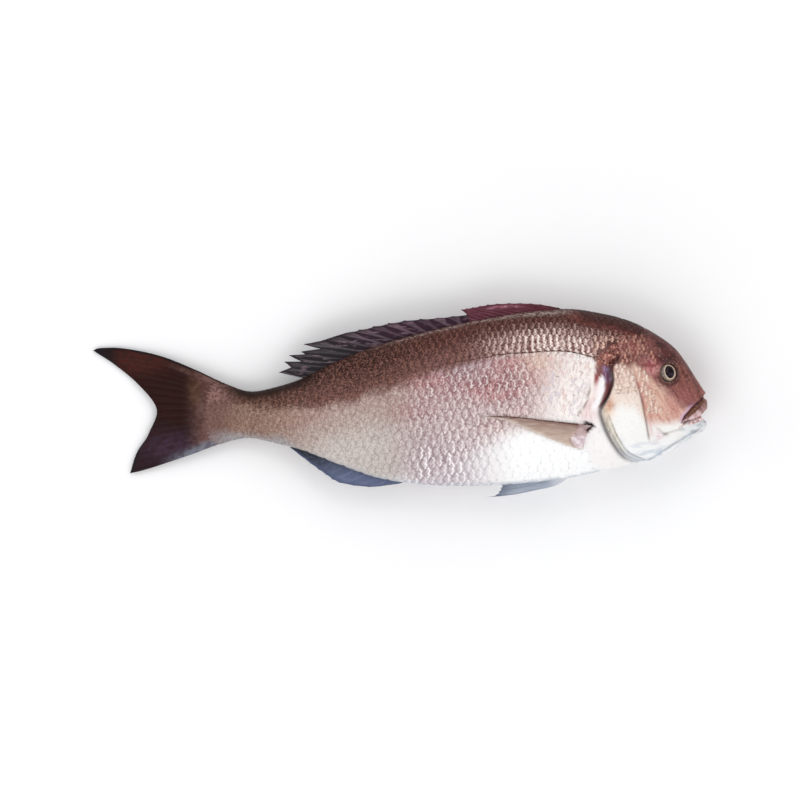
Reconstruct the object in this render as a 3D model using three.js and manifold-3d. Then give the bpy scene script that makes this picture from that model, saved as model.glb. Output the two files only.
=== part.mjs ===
// A whole raw sea bream, lying on its left flank with its right side up.
//
// Millimetres, +Z up. The head points to +X and the back to +Y. The origin is on the surface that
// the fish lies on, under the middle of its outline.
//
// The trunk and head are one loft over slanted ribs. The flank below is pressed flat where the
// weight rests on it. Every fin is a patch between its root, its outer margin and its first and
// last rays, and is fused to the body. The eyeballs are solids of their own, in open sockets.

import * as THREE from 'three';
import { ParametricGeometry } from 'three/addons/geometries/ParametricGeometry.js';
import { mergeVertices } from 'three/addons/utils/BufferGeometryUtils.js';
import Module from 'manifold-3d';

const wasm = await Module();
wasm.setup();

// ---- Driving dimensions ----------------------------------------------------------------------

// Ribs from the snout to the root of the tail: their ends on the back and the belly in plan, half
// the thickness of the fish there, and how far up from the belly it is fullest.
const RIBS = [
	{ back: [249.9, -6.5], belly: [249.9, -10.5], halfWidth: 1.0, fullest: 0.45 },
	{ back: [249.2, 3.5], belly: [248.8, -21.3], halfWidth: 6.0, fullest: 0.45 },
	{ back: [245.9, 9.6], belly: [245.9, -25.0], halfWidth: 9.5, fullest: 0.44 },
	{ back: [239.4, 19.7], belly: [240.2, -28.7], halfWidth: 14.0, fullest: 0.43 },
	{ back: [231.3, 32.3], belly: [232.1, -33.5], halfWidth: 18.5, fullest: 0.43 },
	{ back: [222.4, 43.3], belly: [222.4, -40.0], halfWidth: 22.5, fullest: 0.44 },
	{ back: [207.7, 53.9], belly: [207.7, -47.4], halfWidth: 27.0, fullest: 0.45 },
	{ back: [189.0, 63.6], belly: [189.0, -52.2], halfWidth: 30.5, fullest: 0.47 },
	{ back: [166.3, 70.1], belly: [163.0, -57.9], halfWidth: 32.5, fullest: 0.48 },
	{ back: [137.0, 74.2], belly: [134.6, -63.6], halfWidth: 33.5, fullest: 0.49 },
	{ back: [102.0, 71.7], belly: [98.0, -67.7], halfWidth: 34.0, fullest: 0.5 },
	{ back: [61.4, 64.8], belly: [57.3, -69.7], halfWidth: 33.0, fullest: 0.5 },
	{ back: [20.7, 55.5], belly: [16.7, -68.1], halfWidth: 30.5, fullest: 0.5 },
	{ back: [-15.9, 45.3], belly: [-17.5, -63.2], halfWidth: 26.5, fullest: 0.5 },
	{ back: [-48.4, 32.7], belly: [-48.4, -52.6], halfWidth: 21.5, fullest: 0.5 },
	{ back: [-78.5, 18.1], belly: [-78.5, -40.9], halfWidth: 16.5, fullest: 0.5 },
	{ back: [-103.7, 10.0], belly: [-103.7, -34.3], halfWidth: 12.5, fullest: 0.5 },
	{ back: [-121.5, 7.1], belly: [-121.5, -30.7], halfWidth: 10.5, fullest: 0.5 },
	{ back: [-136.2, 11.2], belly: [-136.2, -32.7], halfWidth: 8.0, fullest: 0.5 },
	{ back: [-150.8, 17.2], belly: [-150.8, -37.2], halfWidth: 3.5, fullest: 0.5 },
	{ back: [-162.0, 19.0], belly: [-162.0, -38.0], halfWidth: 0.0, fullest: 0.5 },
];

// A rib's section is a superellipse, sharper along the back than along the belly.
const BACK_POWER = 1.8;
const BELLY_POWER = 2.15;

// The loft's rings and the points round each ring.
const RING_COUNT = 51;
const RING_POINTS = 40;

// The middle plane of the trunk, and how it sinks from there to the tips of the tail.
const TRUNK_MIDDLE = 30;
const TAIL_MIDDLE = 1.5;
const SINK_START_X = 45;
const SINK_END_X = -260;

// The flank below is pressed into the plane z = 0, and leaves it over this height.
const PRESS_BLEND = 1.5;

// The gill cover's rear margin, from its top end down to the throat, and how far it stands proud.
const GILL_MARGIN = [
	[177.6, 33.9],
	[172.8, 27.0],
	[173.4, 15.0],
	[169.6, 3.0],
	[163.8, -8.3],
	[166.0, -18.5],
	[172.4, -31.0],
	[181.7, -43.3],
	[199.6, -53.0],
];
const COVER_RISE = 2.2;
const COVER_SINK = 1.0;
const COVER_HALF_WIDTH = 31;
const COVER_FRONT_X = 214;
const COVER_FULL_X = 186;
const GILL_SLIT = { width: 3.2, depth: 5, halfWidth: 31 };

// The groove above the upper lip, from the snout down to the corner of the mouth, and the gape.
const LIP_GROOVE_LINE = [
	[248.6, 6.6],
	[243.9, 1.4],
	[236.2, -5.9],
	[230.5, -12.4],
	[228.2, -17.5],
];
const LIP_GROOVE = { width: 3.6, depth: 3.2, halfWidth: 14 };
const GAPE = [
	[252, -4.8],
	[248.6, -6.5],
	[244.2, -12.6],
	[234.0, -16.4],
	[234.0, -17.2],
	[244.6, -14.6],
	[248.6, -17.0],
	[252, -17.6],
];

// The eyes: centre in plan, height over the middle plane, tilt forwards and towards the back.
const EYE = { x: 217.5, y: 21.8, rise: 16.6, radius: 7.6, depth: 5.2, forward: 24, up: 20 };
const SOCKET_GAP = 0.35;

// The membrane between two rays is this much thinner than they are. The pelvic fins leave the
// belly this far to each side of the middle plane and close up towards their tips. The pectoral
// fins lie this far off the flanks, and no fin's middle is lower than the last value.
const FIN_RELIEF = 0.42;
const PELVIC_SPREAD = { root: 4.2, tip: 1.7, rootX: 142, tipX: 68 };
const PECTORAL_LIFT = 0.9;
const LOWEST_FIN = 1.9;

// Cutters and prisms reach from below the fish to above it.
const PRISM_BOTTOM = -20;
const PRISM_TOP = 90;

// ---- Small helpers ---------------------------------------------------------------------------

function smoothStep(from, to, value) {
	const t = Math.min(Math.max((value - from) / (to - from), 0), 1);
	return t * t * (3 - 2 * t);
}

function middleHeight(x) {
	return THREE.MathUtils.lerp(TRUNK_MIDDLE, TAIL_MIDDLE, smoothStep(SINK_START_X, SINK_END_X, x));
}

function pressedFlat(z) {
	if (z > PRESS_BLEND) {
		return z;
	}
	if (z < -PRESS_BLEND) {
		return 0;
	}
	return (z + PRESS_BLEND) ** 2 / (4 * PRESS_BLEND);
}

function curveThrough(points) {
	const vectors = points.map(([x, y, z = 0]) => new THREE.Vector3(x, y, z));
	return new THREE.CatmullRomCurve3(vectors, false, 'catmullrom');
}

function signedVolume(positions, index) {
	const corners = [new THREE.Vector3(), new THREE.Vector3(), new THREE.Vector3()];
	let volume = 0;
	for (let i = 0; i < index.length; i += 3) {
		corners.forEach((corner, k) => corner.fromBufferAttribute(positions, index[i + k]));
		volume += corners[0].dot(corners[1].cross(corners[2])) / 6;
	}
	return volume;
}

// A closed geometry as a solid: shared vertices merged, flat triangles dropped, faces outwards.
function solidOf(geometry) {
	const plain = geometry.clone();
	plain.deleteAttribute('normal');
	plain.deleteAttribute('uv');
	const merged = mergeVertices(plain, 1e-3);
	const source = merged.index.array;
	const index = [];
	for (let i = 0; i < source.length; i += 3) {
		const [a, b, c] = [source[i], source[i + 1], source[i + 2]];
		if (a !== b && b !== c && c !== a) {
			index.push(a, b, c);
		}
	}
	if (signedVolume(merged.attributes.position, index) < 0) {
		index.reverse();
	}
	return new wasm.Manifold(new wasm.Mesh({
		numProp: 3,
		vertProperties: new Float32Array(merged.attributes.position.array),
		triVerts: new Uint32Array(index),
	}));
}

function geometryOf(solid) {
	const mesh = solid.getMesh();
	const geometry = new THREE.BufferGeometry();
	geometry.setAttribute('position', new THREE.BufferAttribute(mesh.vertProperties, 3));
	geometry.setIndex(new THREE.BufferAttribute(mesh.triVerts, 1));
	geometry.computeVertexNormals();
	return geometry;
}

// An upright prism over an outline of the plan.
function prism(outline) {
	const shape = new THREE.Shape(outline.map(([x, y]) => new THREE.Vector2(x, y)));
	const options = { depth: PRISM_TOP - PRISM_BOTTOM, bevelEnabled: false };
	const geometry = new THREE.ExtrudeGeometry(shape, options);
	geometry.translate(0, 0, PRISM_BOTTOM);
	return solidOf(geometry);
}

// ---- Body ------------------------------------------------------------------------------------

const backLine = curveThrough(RIBS.map((rib) => rib.back));
const bellyLine = curveThrough(RIBS.map((rib) => rib.belly));
const girthLine = curveThrough(RIBS.map((rib) => [rib.halfWidth, rib.fullest]));

// The rib at a place along the body, 0 at the snout and 1 at the root of the tail.
function ribAt(along) {
	const girth = girthLine.getPoint(along);
	return {
		back: backLine.getPoint(along),
		belly: bellyLine.getPoint(along),
		halfWidth: Math.max(girth.x, 0),
		fullest: girth.y,
	};
}

// A point of the skin: a turn of 0 is the middle of the right side, a quarter turn is the back.
// The thickness of the fish is multiplied by stoutness(x).
function skinPoint(along, turn, stoutness, target) {
	const rib = ribAt(along);
	const angle = turn * 2 * Math.PI;
	const up = Math.sin(angle);
	const side = Math.cos(angle);
	const power = up > 0 ? BACK_POWER : BELLY_POWER;
	const reach = up > 0 ? 1 - rib.fullest : rib.fullest;
	const height = rib.fullest + Math.sign(up) * reach * Math.abs(up) ** (2 / power);
	target.lerpVectors(rib.belly, rib.back, height);
	const out = Math.sign(side) * rib.halfWidth * stoutness(target.x) * Math.abs(side) ** (2 / power);
	target.z = pressedFlat(middleHeight(target.x) + out);
}

// The whole loft. One more ring than the ribs need is drawn to a point, and closes the snout.
function bodyLoft(stoutness) {
	const tip = new THREE.Vector3().addVectors(backLine.getPoint(0), bellyLine.getPoint(0)).divideScalar(2);
	tip.z = TRUNK_MIDDLE;
	const surface = (turn, v, target) => {
		const ring = Math.round(v * (RING_COUNT + 1));
		if (ring === 0) {
			target.copy(tip);
			return;
		}
		skinPoint((ring - 1) / RING_COUNT, turn, stoutness, target);
	};
	return solidOf(new ParametricGeometry(surface, RING_POINTS, RING_COUNT + 1));
}

// How far the right flank stands over the middle plane, above a point of the plan.
function flankRise(x, y) {
	let near = 0;
	let far = 1;
	for (let step = 0; step < 30; step += 1) {
		const along = (near + far) / 2;
		const { back, belly } = ribAt(along);
		const behind = (back.x - belly.x) * (y - belly.y) - (back.y - belly.y) * (x - belly.x);
		if (behind > 0) {
			near = along;
		} else {
			far = along;
		}
	}
	const rib = ribAt(near);
	const height = (y - rib.belly.y) / (rib.back.y - rib.belly.y);
	const above = height > rib.fullest;
	const reach = above ? 1 - rib.fullest : rib.fullest;
	const power = above ? BACK_POWER : BELLY_POWER;
	const share = Math.min(Math.abs(height - rib.fullest) / reach, 1);
	return rib.halfWidth * (1 - share ** power) ** (1 / power);
}

// ---- Head ------------------------------------------------------------------------------------

function offsetLine(curve, samples, distance) {
	return curve.getPoints(samples).map((point, i) => {
		const tangent = curve.getTangent(i / samples);
		return [point.x - tangent.y * distance, point.y + tangent.x * distance];
	});
}

// A groove in the skin along a line of the plan: the band minus a body thinned by its depth.
function groove(line, { width, depth, halfWidth }) {
	const samples = 20;
	const curve = curveThrough(line);
	const front = offsetLine(curve, samples, width / 2);
	const rear = offsetLine(curve, samples, -width / 2).reverse();
	return prism([...front, ...rear]).subtract(bodyLoft(() => 1 - depth / halfWidth));
}

// The gill cover: the head's skin, swollen towards the margin and cut off along it.
function gillCover() {
	const margin = curveThrough(GILL_MARGIN).getPoints(28).map((point) => [point.x, point.y]);
	const front = [[COVER_FRONT_X, -60], [COVER_FRONT_X, 46], [190, 40]];
	const rise = (x) => THREE.MathUtils.lerp(-COVER_SINK, COVER_RISE, smoothStep(COVER_FRONT_X, COVER_FULL_X, x));
	return bodyLoft((x) => 1 + rise(x) / COVER_HALF_WIDTH).intersect(prism([...margin, ...front]));
}

function eyeball(side, gap) {
	const geometry = new THREE.SphereGeometry(EYE.radius + gap, 18, 9);
	geometry.rotateX(Math.PI / 2);
	geometry.scale(1, 1, (EYE.depth + gap) / (EYE.radius + gap));
	geometry.rotateX(-side * THREE.MathUtils.degToRad(EYE.up));
	geometry.rotateY(side * THREE.MathUtils.degToRad(EYE.forward));
	geometry.translate(EYE.x, EYE.y, TRUNK_MIDDLE + side * EYE.rise);
	return geometry;
}

// ---- Fins ------------------------------------------------------------------------------------

// A point of a fin: across 0 to 1 from its first ray to its last, out 0 to 1 from root to margin.
function finPoint(fin, across, out) {
	const point = fin.root.getPoint(across).multiplyScalar(1 - out);
	point.addScaledVector(fin.margin.getPoint(across), out);
	[[fin.first, 0, 1 - across], [fin.last, 1, across]].forEach(([ray, end, weight]) => {
		const straight = fin.root.getPoint(end).multiplyScalar(1 - out);
		straight.addScaledVector(fin.margin.getPoint(end), out);
		point.addScaledVector(ray.getPoint(out), weight).addScaledVector(straight, -weight);
	});
	return point;
}

// A closed thin solid: one side from the first ray to the last and the other side back again.
// Each ray is a ridge, and between the rays the membrane is thinner and its margin is notched.
// The two sides meet along the root, inside the body, and along the margin.
function finSolid(fin) {
	const columns = 2 * (fin.rays - 1);
	const loop = 2 * columns + 2;
	const surface = (turn, v, target) => {
		const step = Math.round(turn * loop) % loop;
		const onTop = step <= columns;
		const column = onTop ? step : loop - 1 - step;
		const between = column % 2;
		const across = column / columns;
		const row = Math.round(v * (fin.rows + 1));
		const out = Math.min(row, fin.rows) / fin.rows;
		const isRim = row === 0 || row > fin.rows;
		const thickness = THREE.MathUtils.lerp(fin.thickness[0], fin.thickness[1], out);
		const half = isRim ? 0 : 0.5 * thickness * (1 - FIN_RELIEF * between);
		const reach = 1 - between * fin.notch(across) * out;
		target.copy(finPoint(fin, across, out * reach));
		target.addScaledVector(fin.normal, onTop ? half : -half);
	};
	return solidOf(new ParametricGeometry(surface, loop, fin.rows + 1));
}

// Rays and edges of the unpaired fins lie in the middle plane of the fish.
function inMiddlePlane(points, sag = 0) {
	return curveThrough(points.map(([x, y]) => [x, y, middleHeight(x) - sag]));
}

const UP = new THREE.Vector3(0, 0, 1);

// The twelve spines lie folded down along the back, each over the root of the next.
function spinyDorsal() {
	return finSolid({
		rays: 12,
		rows: 3,
		thickness: [5, 1.6],
		normal: UP,
		notch: () => 0.16,
		root: inMiddlePlane([[136, 72], [104, 68.5], [78, 64], [56, 59]]),
		margin: inMiddlePlane([[129, 75.2], [112.6, 78.2], [94, 79.1], [74, 78.2], [60, 75.8], [49.2, 74]]),
		first: inMiddlePlane([[136, 72], [129, 75.2]]),
		last: inMiddlePlane([[56, 59], [55, 68.5], [49.2, 74]]),
	});
}

// The soft rays lean back ever flatter, and the last five stand apart like the teeth of a comb.
function softDorsal() {
	const root = [[62, 60], [44, 57], [26, 53], [10, 49], [-8, 44], [-24, 38.5], [-40, 32.5], [-54, 26.5], [-74, 17]];
	const margin = [
		[55, 69.9],
		[32, 67.4],
		[7, 65.4],
		[-15, 61],
		[-38.6, 57],
		[-61, 50.8],
		[-78.5, 45.3],
		[-90.7, 36.4],
		[-98.8, 23],
	];
	return finSolid({
		rays: 17,
		rows: 4,
		thickness: [4, 1.1],
		normal: UP,
		notch: (across) => THREE.MathUtils.lerp(0.1, 0.32, smoothStep(0.6, 0.78, across)),
		root: inMiddlePlane(root),
		margin: inMiddlePlane(margin, 1),
		first: inMiddlePlane([[62, 60], [55, 69.9]]),
		last: inMiddlePlane([[-74, 17], [-88, 20.4], [-98.8, 23]]),
	});
}

function analFin() {
	return finSolid({
		rays: 11,
		rows: 4,
		thickness: [4, 1.2],
		normal: UP,
		notch: () => 0.08,
		root: inMiddlePlane([[4, -62.5], [-17.5, -58], [-48.4, -47.5], [-80, -36.5]]),
		margin: inMiddlePlane(
			[[-7.7, -68.8], [-25.6, -70.6], [-49.2, -67.3], [-60.6, -60.6], [-72.8, -51.6], [-89.8, -38.4]],
			1,
		),
		first: inMiddlePlane([[4, -62.5], [2, -67], [-7.7, -68.8]]),
		last: inMiddlePlane([[-80, -36.5], [-89.8, -38.4]]),
	});
}

function tailFin() {
	const upperRay = [[-141, 12.5], [-165.4, 24.4], [-194.7, 36], [-224, 42.1], [-243.5, 42.5], [-250, 40.4]];
	const lowerRay = [[-141, -33], [-165.4, -42.6], [-194.7, -52.6], [-209.3, -57.1], [-219.9, -59.6]];
	return finSolid({
		rays: 17,
		rows: 5,
		thickness: [5, 1.1],
		normal: UP,
		notch: () => 0.02,
		root: inMiddlePlane([[-141, 12.5], [-147, 2], [-149, -10], [-147, -22], [-141, -33]]),
		margin: inMiddlePlane([
			[-250, 40.4],
			[-232.5, 29.1],
			[-213, 12.8],
			[-196, -8.5],
			[-204.5, -27.8],
			[-214.2, -42.5],
			[-219.9, -59.6],
		]),
		first: inMiddlePlane(upperRay),
		last: inMiddlePlane(lowerRay),
	});
}

// The pelvic fins fold back side by side under the belly, and sag a little towards the table.
function pelvicFin(side) {
	const place = (points) => curveThrough(points.map(([x, y, sag]) => {
		const share = smoothStep(PELVIC_SPREAD.tipX, PELVIC_SPREAD.rootX, x);
		const spread = THREE.MathUtils.lerp(PELVIC_SPREAD.tip, PELVIC_SPREAD.root, share);
		return [x, y, TRUNK_MIDDLE + side * spread - sag];
	}));
	const firstRay = [[142, -59.5, 0], [127.2, -69, 1.2], [110, -73.2, 2.4], [90, -77.1, 3.8], [67.9, -79.1, 5]];
	return finSolid({
		rays: 6,
		rows: 5,
		thickness: [3.2, 1.2],
		normal: UP,
		notch: () => 0.04,
		root: place([[142, -59.5, 0], [136, -58.5, 0], [128, -58, 0]]),
		margin: place([[67.9, -79.1, 5], [76, -77.6, 4.4], [80, -73.6, 4], [82, -69, 3.4]]),
		first: place(firstRay),
		last: place([[128, -58, 0], [108, -65, 2], [82, -69, 3.4]]),
	});
}

// The pectoral fins lie back along the flanks. The lower one is pressed between fish and table.
function pectoralFin(side) {
	const onFlank = (points) => curveThrough(points.map(([x, y, lift]) => {
		const height = TRUNK_MIDDLE + side * (flankRise(x, y) + lift * PECTORAL_LIFT);
		return [x, y, Math.max(height, LOWEST_FIN)];
	}));
	const lean = side > 0 ? new THREE.Vector3(0, -0.25, 1).normalize() : UP;
	const margin = [
		[67.9, -13.2, 0.4],
		[84, -16.4, 0.6],
		[104.5, -25.4, 1],
		[124, -33, 1.4],
		[140, -38.8, 1.4],
		[148.6, -40, 1],
	];
	const firstRay = [[156.5, -20.5, -1], [138.6, -18.5, 1.6], [112, -15.6, 1.2], [88.7, -12.9, 0.8], [67.9, -13.2, 0.4]];
	return finSolid({
		rays: 10,
		rows: 5,
		thickness: [3.2, 1.3],
		normal: lean,
		notch: () => 0.04,
		root: onFlank([[156.5, -20.5, -1], [154, -24.5, -0.6], [151, -28, -1]]),
		margin: onFlank(margin),
		first: onFlank(firstRay),
		last: onFlank([[151, -28, -1], [150, -34, 1], [148.6, -40, 1]]),
	});
}

// ---- The fish --------------------------------------------------------------------------------

function fishSolid() {
	const cutters = [
		groove(GILL_MARGIN, GILL_SLIT),
		groove(LIP_GROOVE_LINE, LIP_GROOVE),
		prism(GAPE),
		solidOf(eyeball(1, SOCKET_GAP)),
		solidOf(eyeball(-1, SOCKET_GAP)),
	];
	const fins = [
		spinyDorsal(),
		softDorsal(),
		analFin(),
		tailFin(),
		pelvicFin(1),
		pelvicFin(-1),
		pectoralFin(1),
		pectoralFin(-1),
	];
	let fish = bodyLoft(() => 1).add(gillCover());
	cutters.forEach((cutter) => {
		fish = fish.subtract(cutter);
	});
	fins.forEach((fin) => {
		fish = fish.add(fin);
	});
	return fish;
}

const skin = new THREE.MeshStandardMaterial({ color: 0xb98a80, roughness: 0.35, metalness: 0.1 });
const eye = new THREE.MeshStandardMaterial({ color: 0x2a2430, roughness: 0.12, metalness: 0 });

const group = new THREE.Group();

const fish = new THREE.Mesh(geometryOf(fishSolid()), skin);
fish.name = 'fish';
group.add(fish);

[['eye_right', 1], ['eye_left', -1]].forEach(([name, side]) => {
	const ball = new THREE.Mesh(geometryOf(solidOf(eyeball(side, 0))), eye);
	ball.name = name;
	group.add(ball);
});

export default group;
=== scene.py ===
import math

import bmesh
import bpy
import numpy as np
from mathutils import Euler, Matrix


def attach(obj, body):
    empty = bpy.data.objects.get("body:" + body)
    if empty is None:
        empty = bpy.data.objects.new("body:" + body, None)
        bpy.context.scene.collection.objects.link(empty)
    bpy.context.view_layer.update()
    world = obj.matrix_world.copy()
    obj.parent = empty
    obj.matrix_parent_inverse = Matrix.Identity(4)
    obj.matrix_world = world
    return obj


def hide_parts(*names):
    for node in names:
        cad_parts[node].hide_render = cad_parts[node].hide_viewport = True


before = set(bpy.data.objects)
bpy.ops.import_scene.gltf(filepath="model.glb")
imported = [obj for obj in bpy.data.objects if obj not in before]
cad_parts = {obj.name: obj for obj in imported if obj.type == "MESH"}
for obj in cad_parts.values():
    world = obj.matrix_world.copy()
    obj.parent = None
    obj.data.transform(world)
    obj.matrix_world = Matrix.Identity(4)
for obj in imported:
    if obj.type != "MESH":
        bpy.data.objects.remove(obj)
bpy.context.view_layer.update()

print("frame loaded")

# Everything below is worked out in millimetres, with the fish on its left flank and its head to +X.
# plan of each rib on back and belly, half thickness, and where it is fullest, from snout to tail
ribs = np.array([
    [249.9, -6.5, 249.9, -10.5, 1.0, 0.45],
    [249.2, 3.5, 248.8, -21.3, 6.0, 0.45],
    [245.9, 9.6, 245.9, -25.0, 9.5, 0.44],
    [239.4, 19.7, 240.2, -28.7, 14.0, 0.43],
    [231.3, 32.3, 232.1, -33.5, 18.5, 0.43],
    [222.4, 43.3, 222.4, -40.0, 22.5, 0.44],
    [207.7, 53.9, 207.7, -47.4, 27.0, 0.45],
    [189.0, 63.6, 189.0, -52.2, 30.5, 0.47],
    [166.3, 70.1, 163.0, -57.9, 32.5, 0.48],
    [137.0, 74.2, 134.6, -63.6, 33.5, 0.49],
    [102.0, 71.7, 98.0, -67.7, 34.0, 0.5],
    [61.4, 64.8, 57.3, -69.7, 33.0, 0.5],
    [20.7, 55.5, 16.7, -68.1, 30.5, 0.5],
    [-15.9, 45.3, -17.5, -63.2, 26.5, 0.5],
    [-48.4, 32.7, -48.4, -52.6, 21.5, 0.5],
    [-78.5, 18.1, -78.5, -40.9, 16.5, 0.5],
    [-103.7, 10.0, -103.7, -34.3, 12.5, 0.5],
    [-121.5, 7.1, -121.5, -30.7, 10.5, 0.5],
    [-136.2, 11.2, -136.2, -32.7, 8.0, 0.5],
    [-150.8, 17.2, -150.8, -37.2, 3.5, 0.5],
    [-162.0, 19.0, -162.0, -38.0, 0.0, 0.5],
])
bodyForm = {
    "backPower": 1.8,
    "bellyPower": 2.15,
    "trunkMiddle": 30.0,      # height of the middle plane
    "tailMiddle": 1.5,
    "sinkStart": 45.0,        # it sinks between these x
    "sinkEnd": -260.0,
    "pressBlend": 1.5,
    "padding": 0.5,           # the scales under the flattened flank take up this much
    "paddingBelow": 3.0,      # and it fades out at this height
    "lowest": 0.01,
}
gillLine = [
    [166.0, 71.0], [171.5, 60.0], [176.0, 48.0], [178.2, 40.0], [177.6, 33.9], [172.8, 27.0],
    [173.4, 15.0], [169.6, 3.0], [163.8, -8.3], [166.0, -18.5], [172.0, -32.0], [181.4, -45.0],
    [194.0, -51.8], [214.0, -60.0],
]
lateralLine = [
    [230.0, 42.0], [210.0, 40.0], [190.0, 37.0], [172.0, 34.6], [158.1, 34.6], [148.0, 37.4],
    [138.6, 39.1], [121.5, 39.7], [104.5, 38.9], [87.4, 37.4], [70.3, 35.2], [53.3, 32.3],
    [36.2, 28.9], [0.4, 21.7], [-40.2, 11.2], [-80.9, -0.2], [-109.3, -7.5], [-141.9, -9.8],
    [-175.0, -10.0],
]
preopercleLine = [
    [186.5, 31.0], [189.0, 25.8], [193.1, 12.0], [196.3, -0.2], [199.6, -16.5], [202.0, -30.3], [203.0, -35.0],
]
cheekLine = [[191.0, 19.0], [194.5, 12.0], [200.0, 0.0], [207.7, -15.0]]
lipLine = [[248.9, 7.0], [243.9, 1.4], [236.2, -5.9], [230.5, -12.4], [227.6, -19.0]]
chinLine = [
    [196.0, -49.4], [203.0, -47.4], [211.8, -42.6], [222.3, -35.6], [232.9, -29.2], [243.2, -23.4], [248.2, -20.0],
]
gapeLine = [[252.0, -12.0], [244.4, -13.9], [240.0, -15.8], [234.0, -17.6], [231.0, -20.0]]
jawLine = [[207.0, -21.0], [209.4, -23.0], [215.0, -27.6], [221.5, -25.6], [232.0, -22.4]]
axilLine = [[147.5, -19.6], [151.5, -18.6], [155.5, -19.4], [157.0, -20.8], [153.0, -23.0], [150.5, -26.0]]
shoulderLine = [[153.6, 14.0], [153.9, 9.2], [152.4, 0.9], [149.8, -4.3], [145.6, -10.5], [141.5, -15.7]]
cleithrumLine = [[167.0, 21.0], [164.6, 11.0], [161.4, -0.2], [155.0, -10.0]]


# from least below low to 1 above high
def smooth(low, high, value, least=0):
    t = np.clip((value - low) / (high - low), 0, 1)
    return least + (1 - least) * t * t * (3 - 2 * t)


def hump(centre, width, value):
    return np.exp(-((value - centre) / width) ** 2)


# a soft round spot: its middle, and its half length and half height
def spot(x, y, place):
    cx, cy, rx, ry = place
    return hump(0, 1, np.hypot((x - cx) / rx, (y - cy) / ry))


def blend(a, b, share):
    return a + (b - a) * share


# reads a table of pairs at x
def lookUp(table, x):
    return np.interp(x, *np.array(table, float).T)


# a point of the curve through points, at 0 to 1 along it
def spline(points, t):
    points = np.asarray(points, float)
    last = len(points) - 1
    place = np.clip(t, 0, 1) * last
    k = np.minimum(np.floor(place).astype(int), last - 1)
    w = (place - k)[..., None]
    padded = np.vstack([2 * points[0] - points[1], points, 2 * points[-1] - points[-2]])
    before, a, b, after = (padded[k + step] for step in range(4))
    leave, arrive = (b - before) / 2, (after - a) / 2
    return ((2 * a - 2 * b + leave + arrive) * w + 3 * b - 3 * a - 2 * leave - arrive) * w ** 2 + leave * w + a


def denseLine(points, count):
    return spline(points, np.linspace(0, 1, count))


# signed distance from a line of the plan, and the share of its length there
def lineField(line, x, y):
    line = np.asarray(line, float)
    steps = np.hypot(*np.diff(line, axis=0).T)
    passed = np.concatenate([[0], np.cumsum(steps)])
    best = np.full(np.shape(x), 1e9)
    side, share = np.zeros(np.shape(x)), np.zeros(np.shape(x))
    for k, (a, b) in enumerate(zip(line[:-1], line[1:])):
        dx, dy = b - a
        t = np.clip(((x - a[0]) * dx + (y - a[1]) * dy) / steps[k] ** 2, 0, 1)
        px, py = x - a[0] - t * dx, y - a[1] - t * dy
        distance = np.hypot(px, py)
        near = distance < best
        best = np.where(near, distance, best)
        side = np.where(near, np.sign(dx * py - dy * px), side)
        share = np.where(near, (passed[k] + t * steps[k]) / passed[-1], share)
    return best * side, share


def ends(share, edge):
    return smooth(0, edge, share) * smooth(1, 1 - edge, share)


# halves the way from near to far until it meets the edge of what inside says
def bisect(near, far, inside):
    for _ in range(34):
        half = (near + far) / 2
        here = inside(half)
        near, far = np.where(here, half, near), np.where(here, far, half)
    return near


def middleHeight(x):
    f = bodyForm
    return blend(f["trunkMiddle"], f["tailMiddle"], smooth(f["sinkStart"], f["sinkEnd"], x))


def skin(along, turn):
    f = bodyForm
    rib = spline(ribs, along)
    up, side = np.sin(2 * np.pi * turn), np.cos(2 * np.pi * turn)
    power = np.where(up > 0, f["backPower"], f["bellyPower"])
    fullest = rib[..., 5]
    reach = np.where(up > 0, 1 - fullest, fullest)
    height = fullest + np.sign(up) * reach * np.abs(up) ** (2 / power)
    x = blend(rib[..., 2], rib[..., 0], height)
    y = blend(rib[..., 3], rib[..., 1], height)
    out = np.sign(side) * np.maximum(rib[..., 4], 0) * np.abs(side) ** (2 / power)
    z = middleHeight(x) + out
    b = f["pressBlend"]
    z = np.where(z > b, z, np.where(z < -b, 0, (z + b) ** 2 / (4 * b)))
    return np.stack([x, y, z], -1)


def unit(v):
    return v / np.maximum(np.linalg.norm(v, axis=-1, keepdims=True), 1e-9)


# the skin and its outward direction
def skinFrame(along, turn):
    point = skin(along, turn)
    step = 2e-3
    forward = skin(np.maximum(along - step, 0), turn) - skin(np.minimum(along + step, 1), turn)
    sideways = skin(along, turn + step) - skin(along, turn - step)
    normal = unit(np.cross(forward, sideways))
    rib = spline(ribs, along)
    middle = np.stack([point[..., 0], (rib[..., 1] + rib[..., 3]) / 2, middleHeight(point[..., 0])], -1)
    flip = np.sum(normal * (point - middle), -1, keepdims=True) < 0
    return point, np.where(flip, -normal, normal)


# a point that stands height over the skin, settled on the table
def onSkin(along, turn, height):
    point, normal = skinFrame(along, turn)
    placed = point + normal * np.asarray(height)[..., None]
    placed[..., 2] += bodyForm["padding"] * smooth(bodyForm["paddingBelow"], 0.0, point[..., 2])
    placed[..., 2] = np.maximum(placed[..., 2], bodyForm["lowest"])
    return placed


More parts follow.
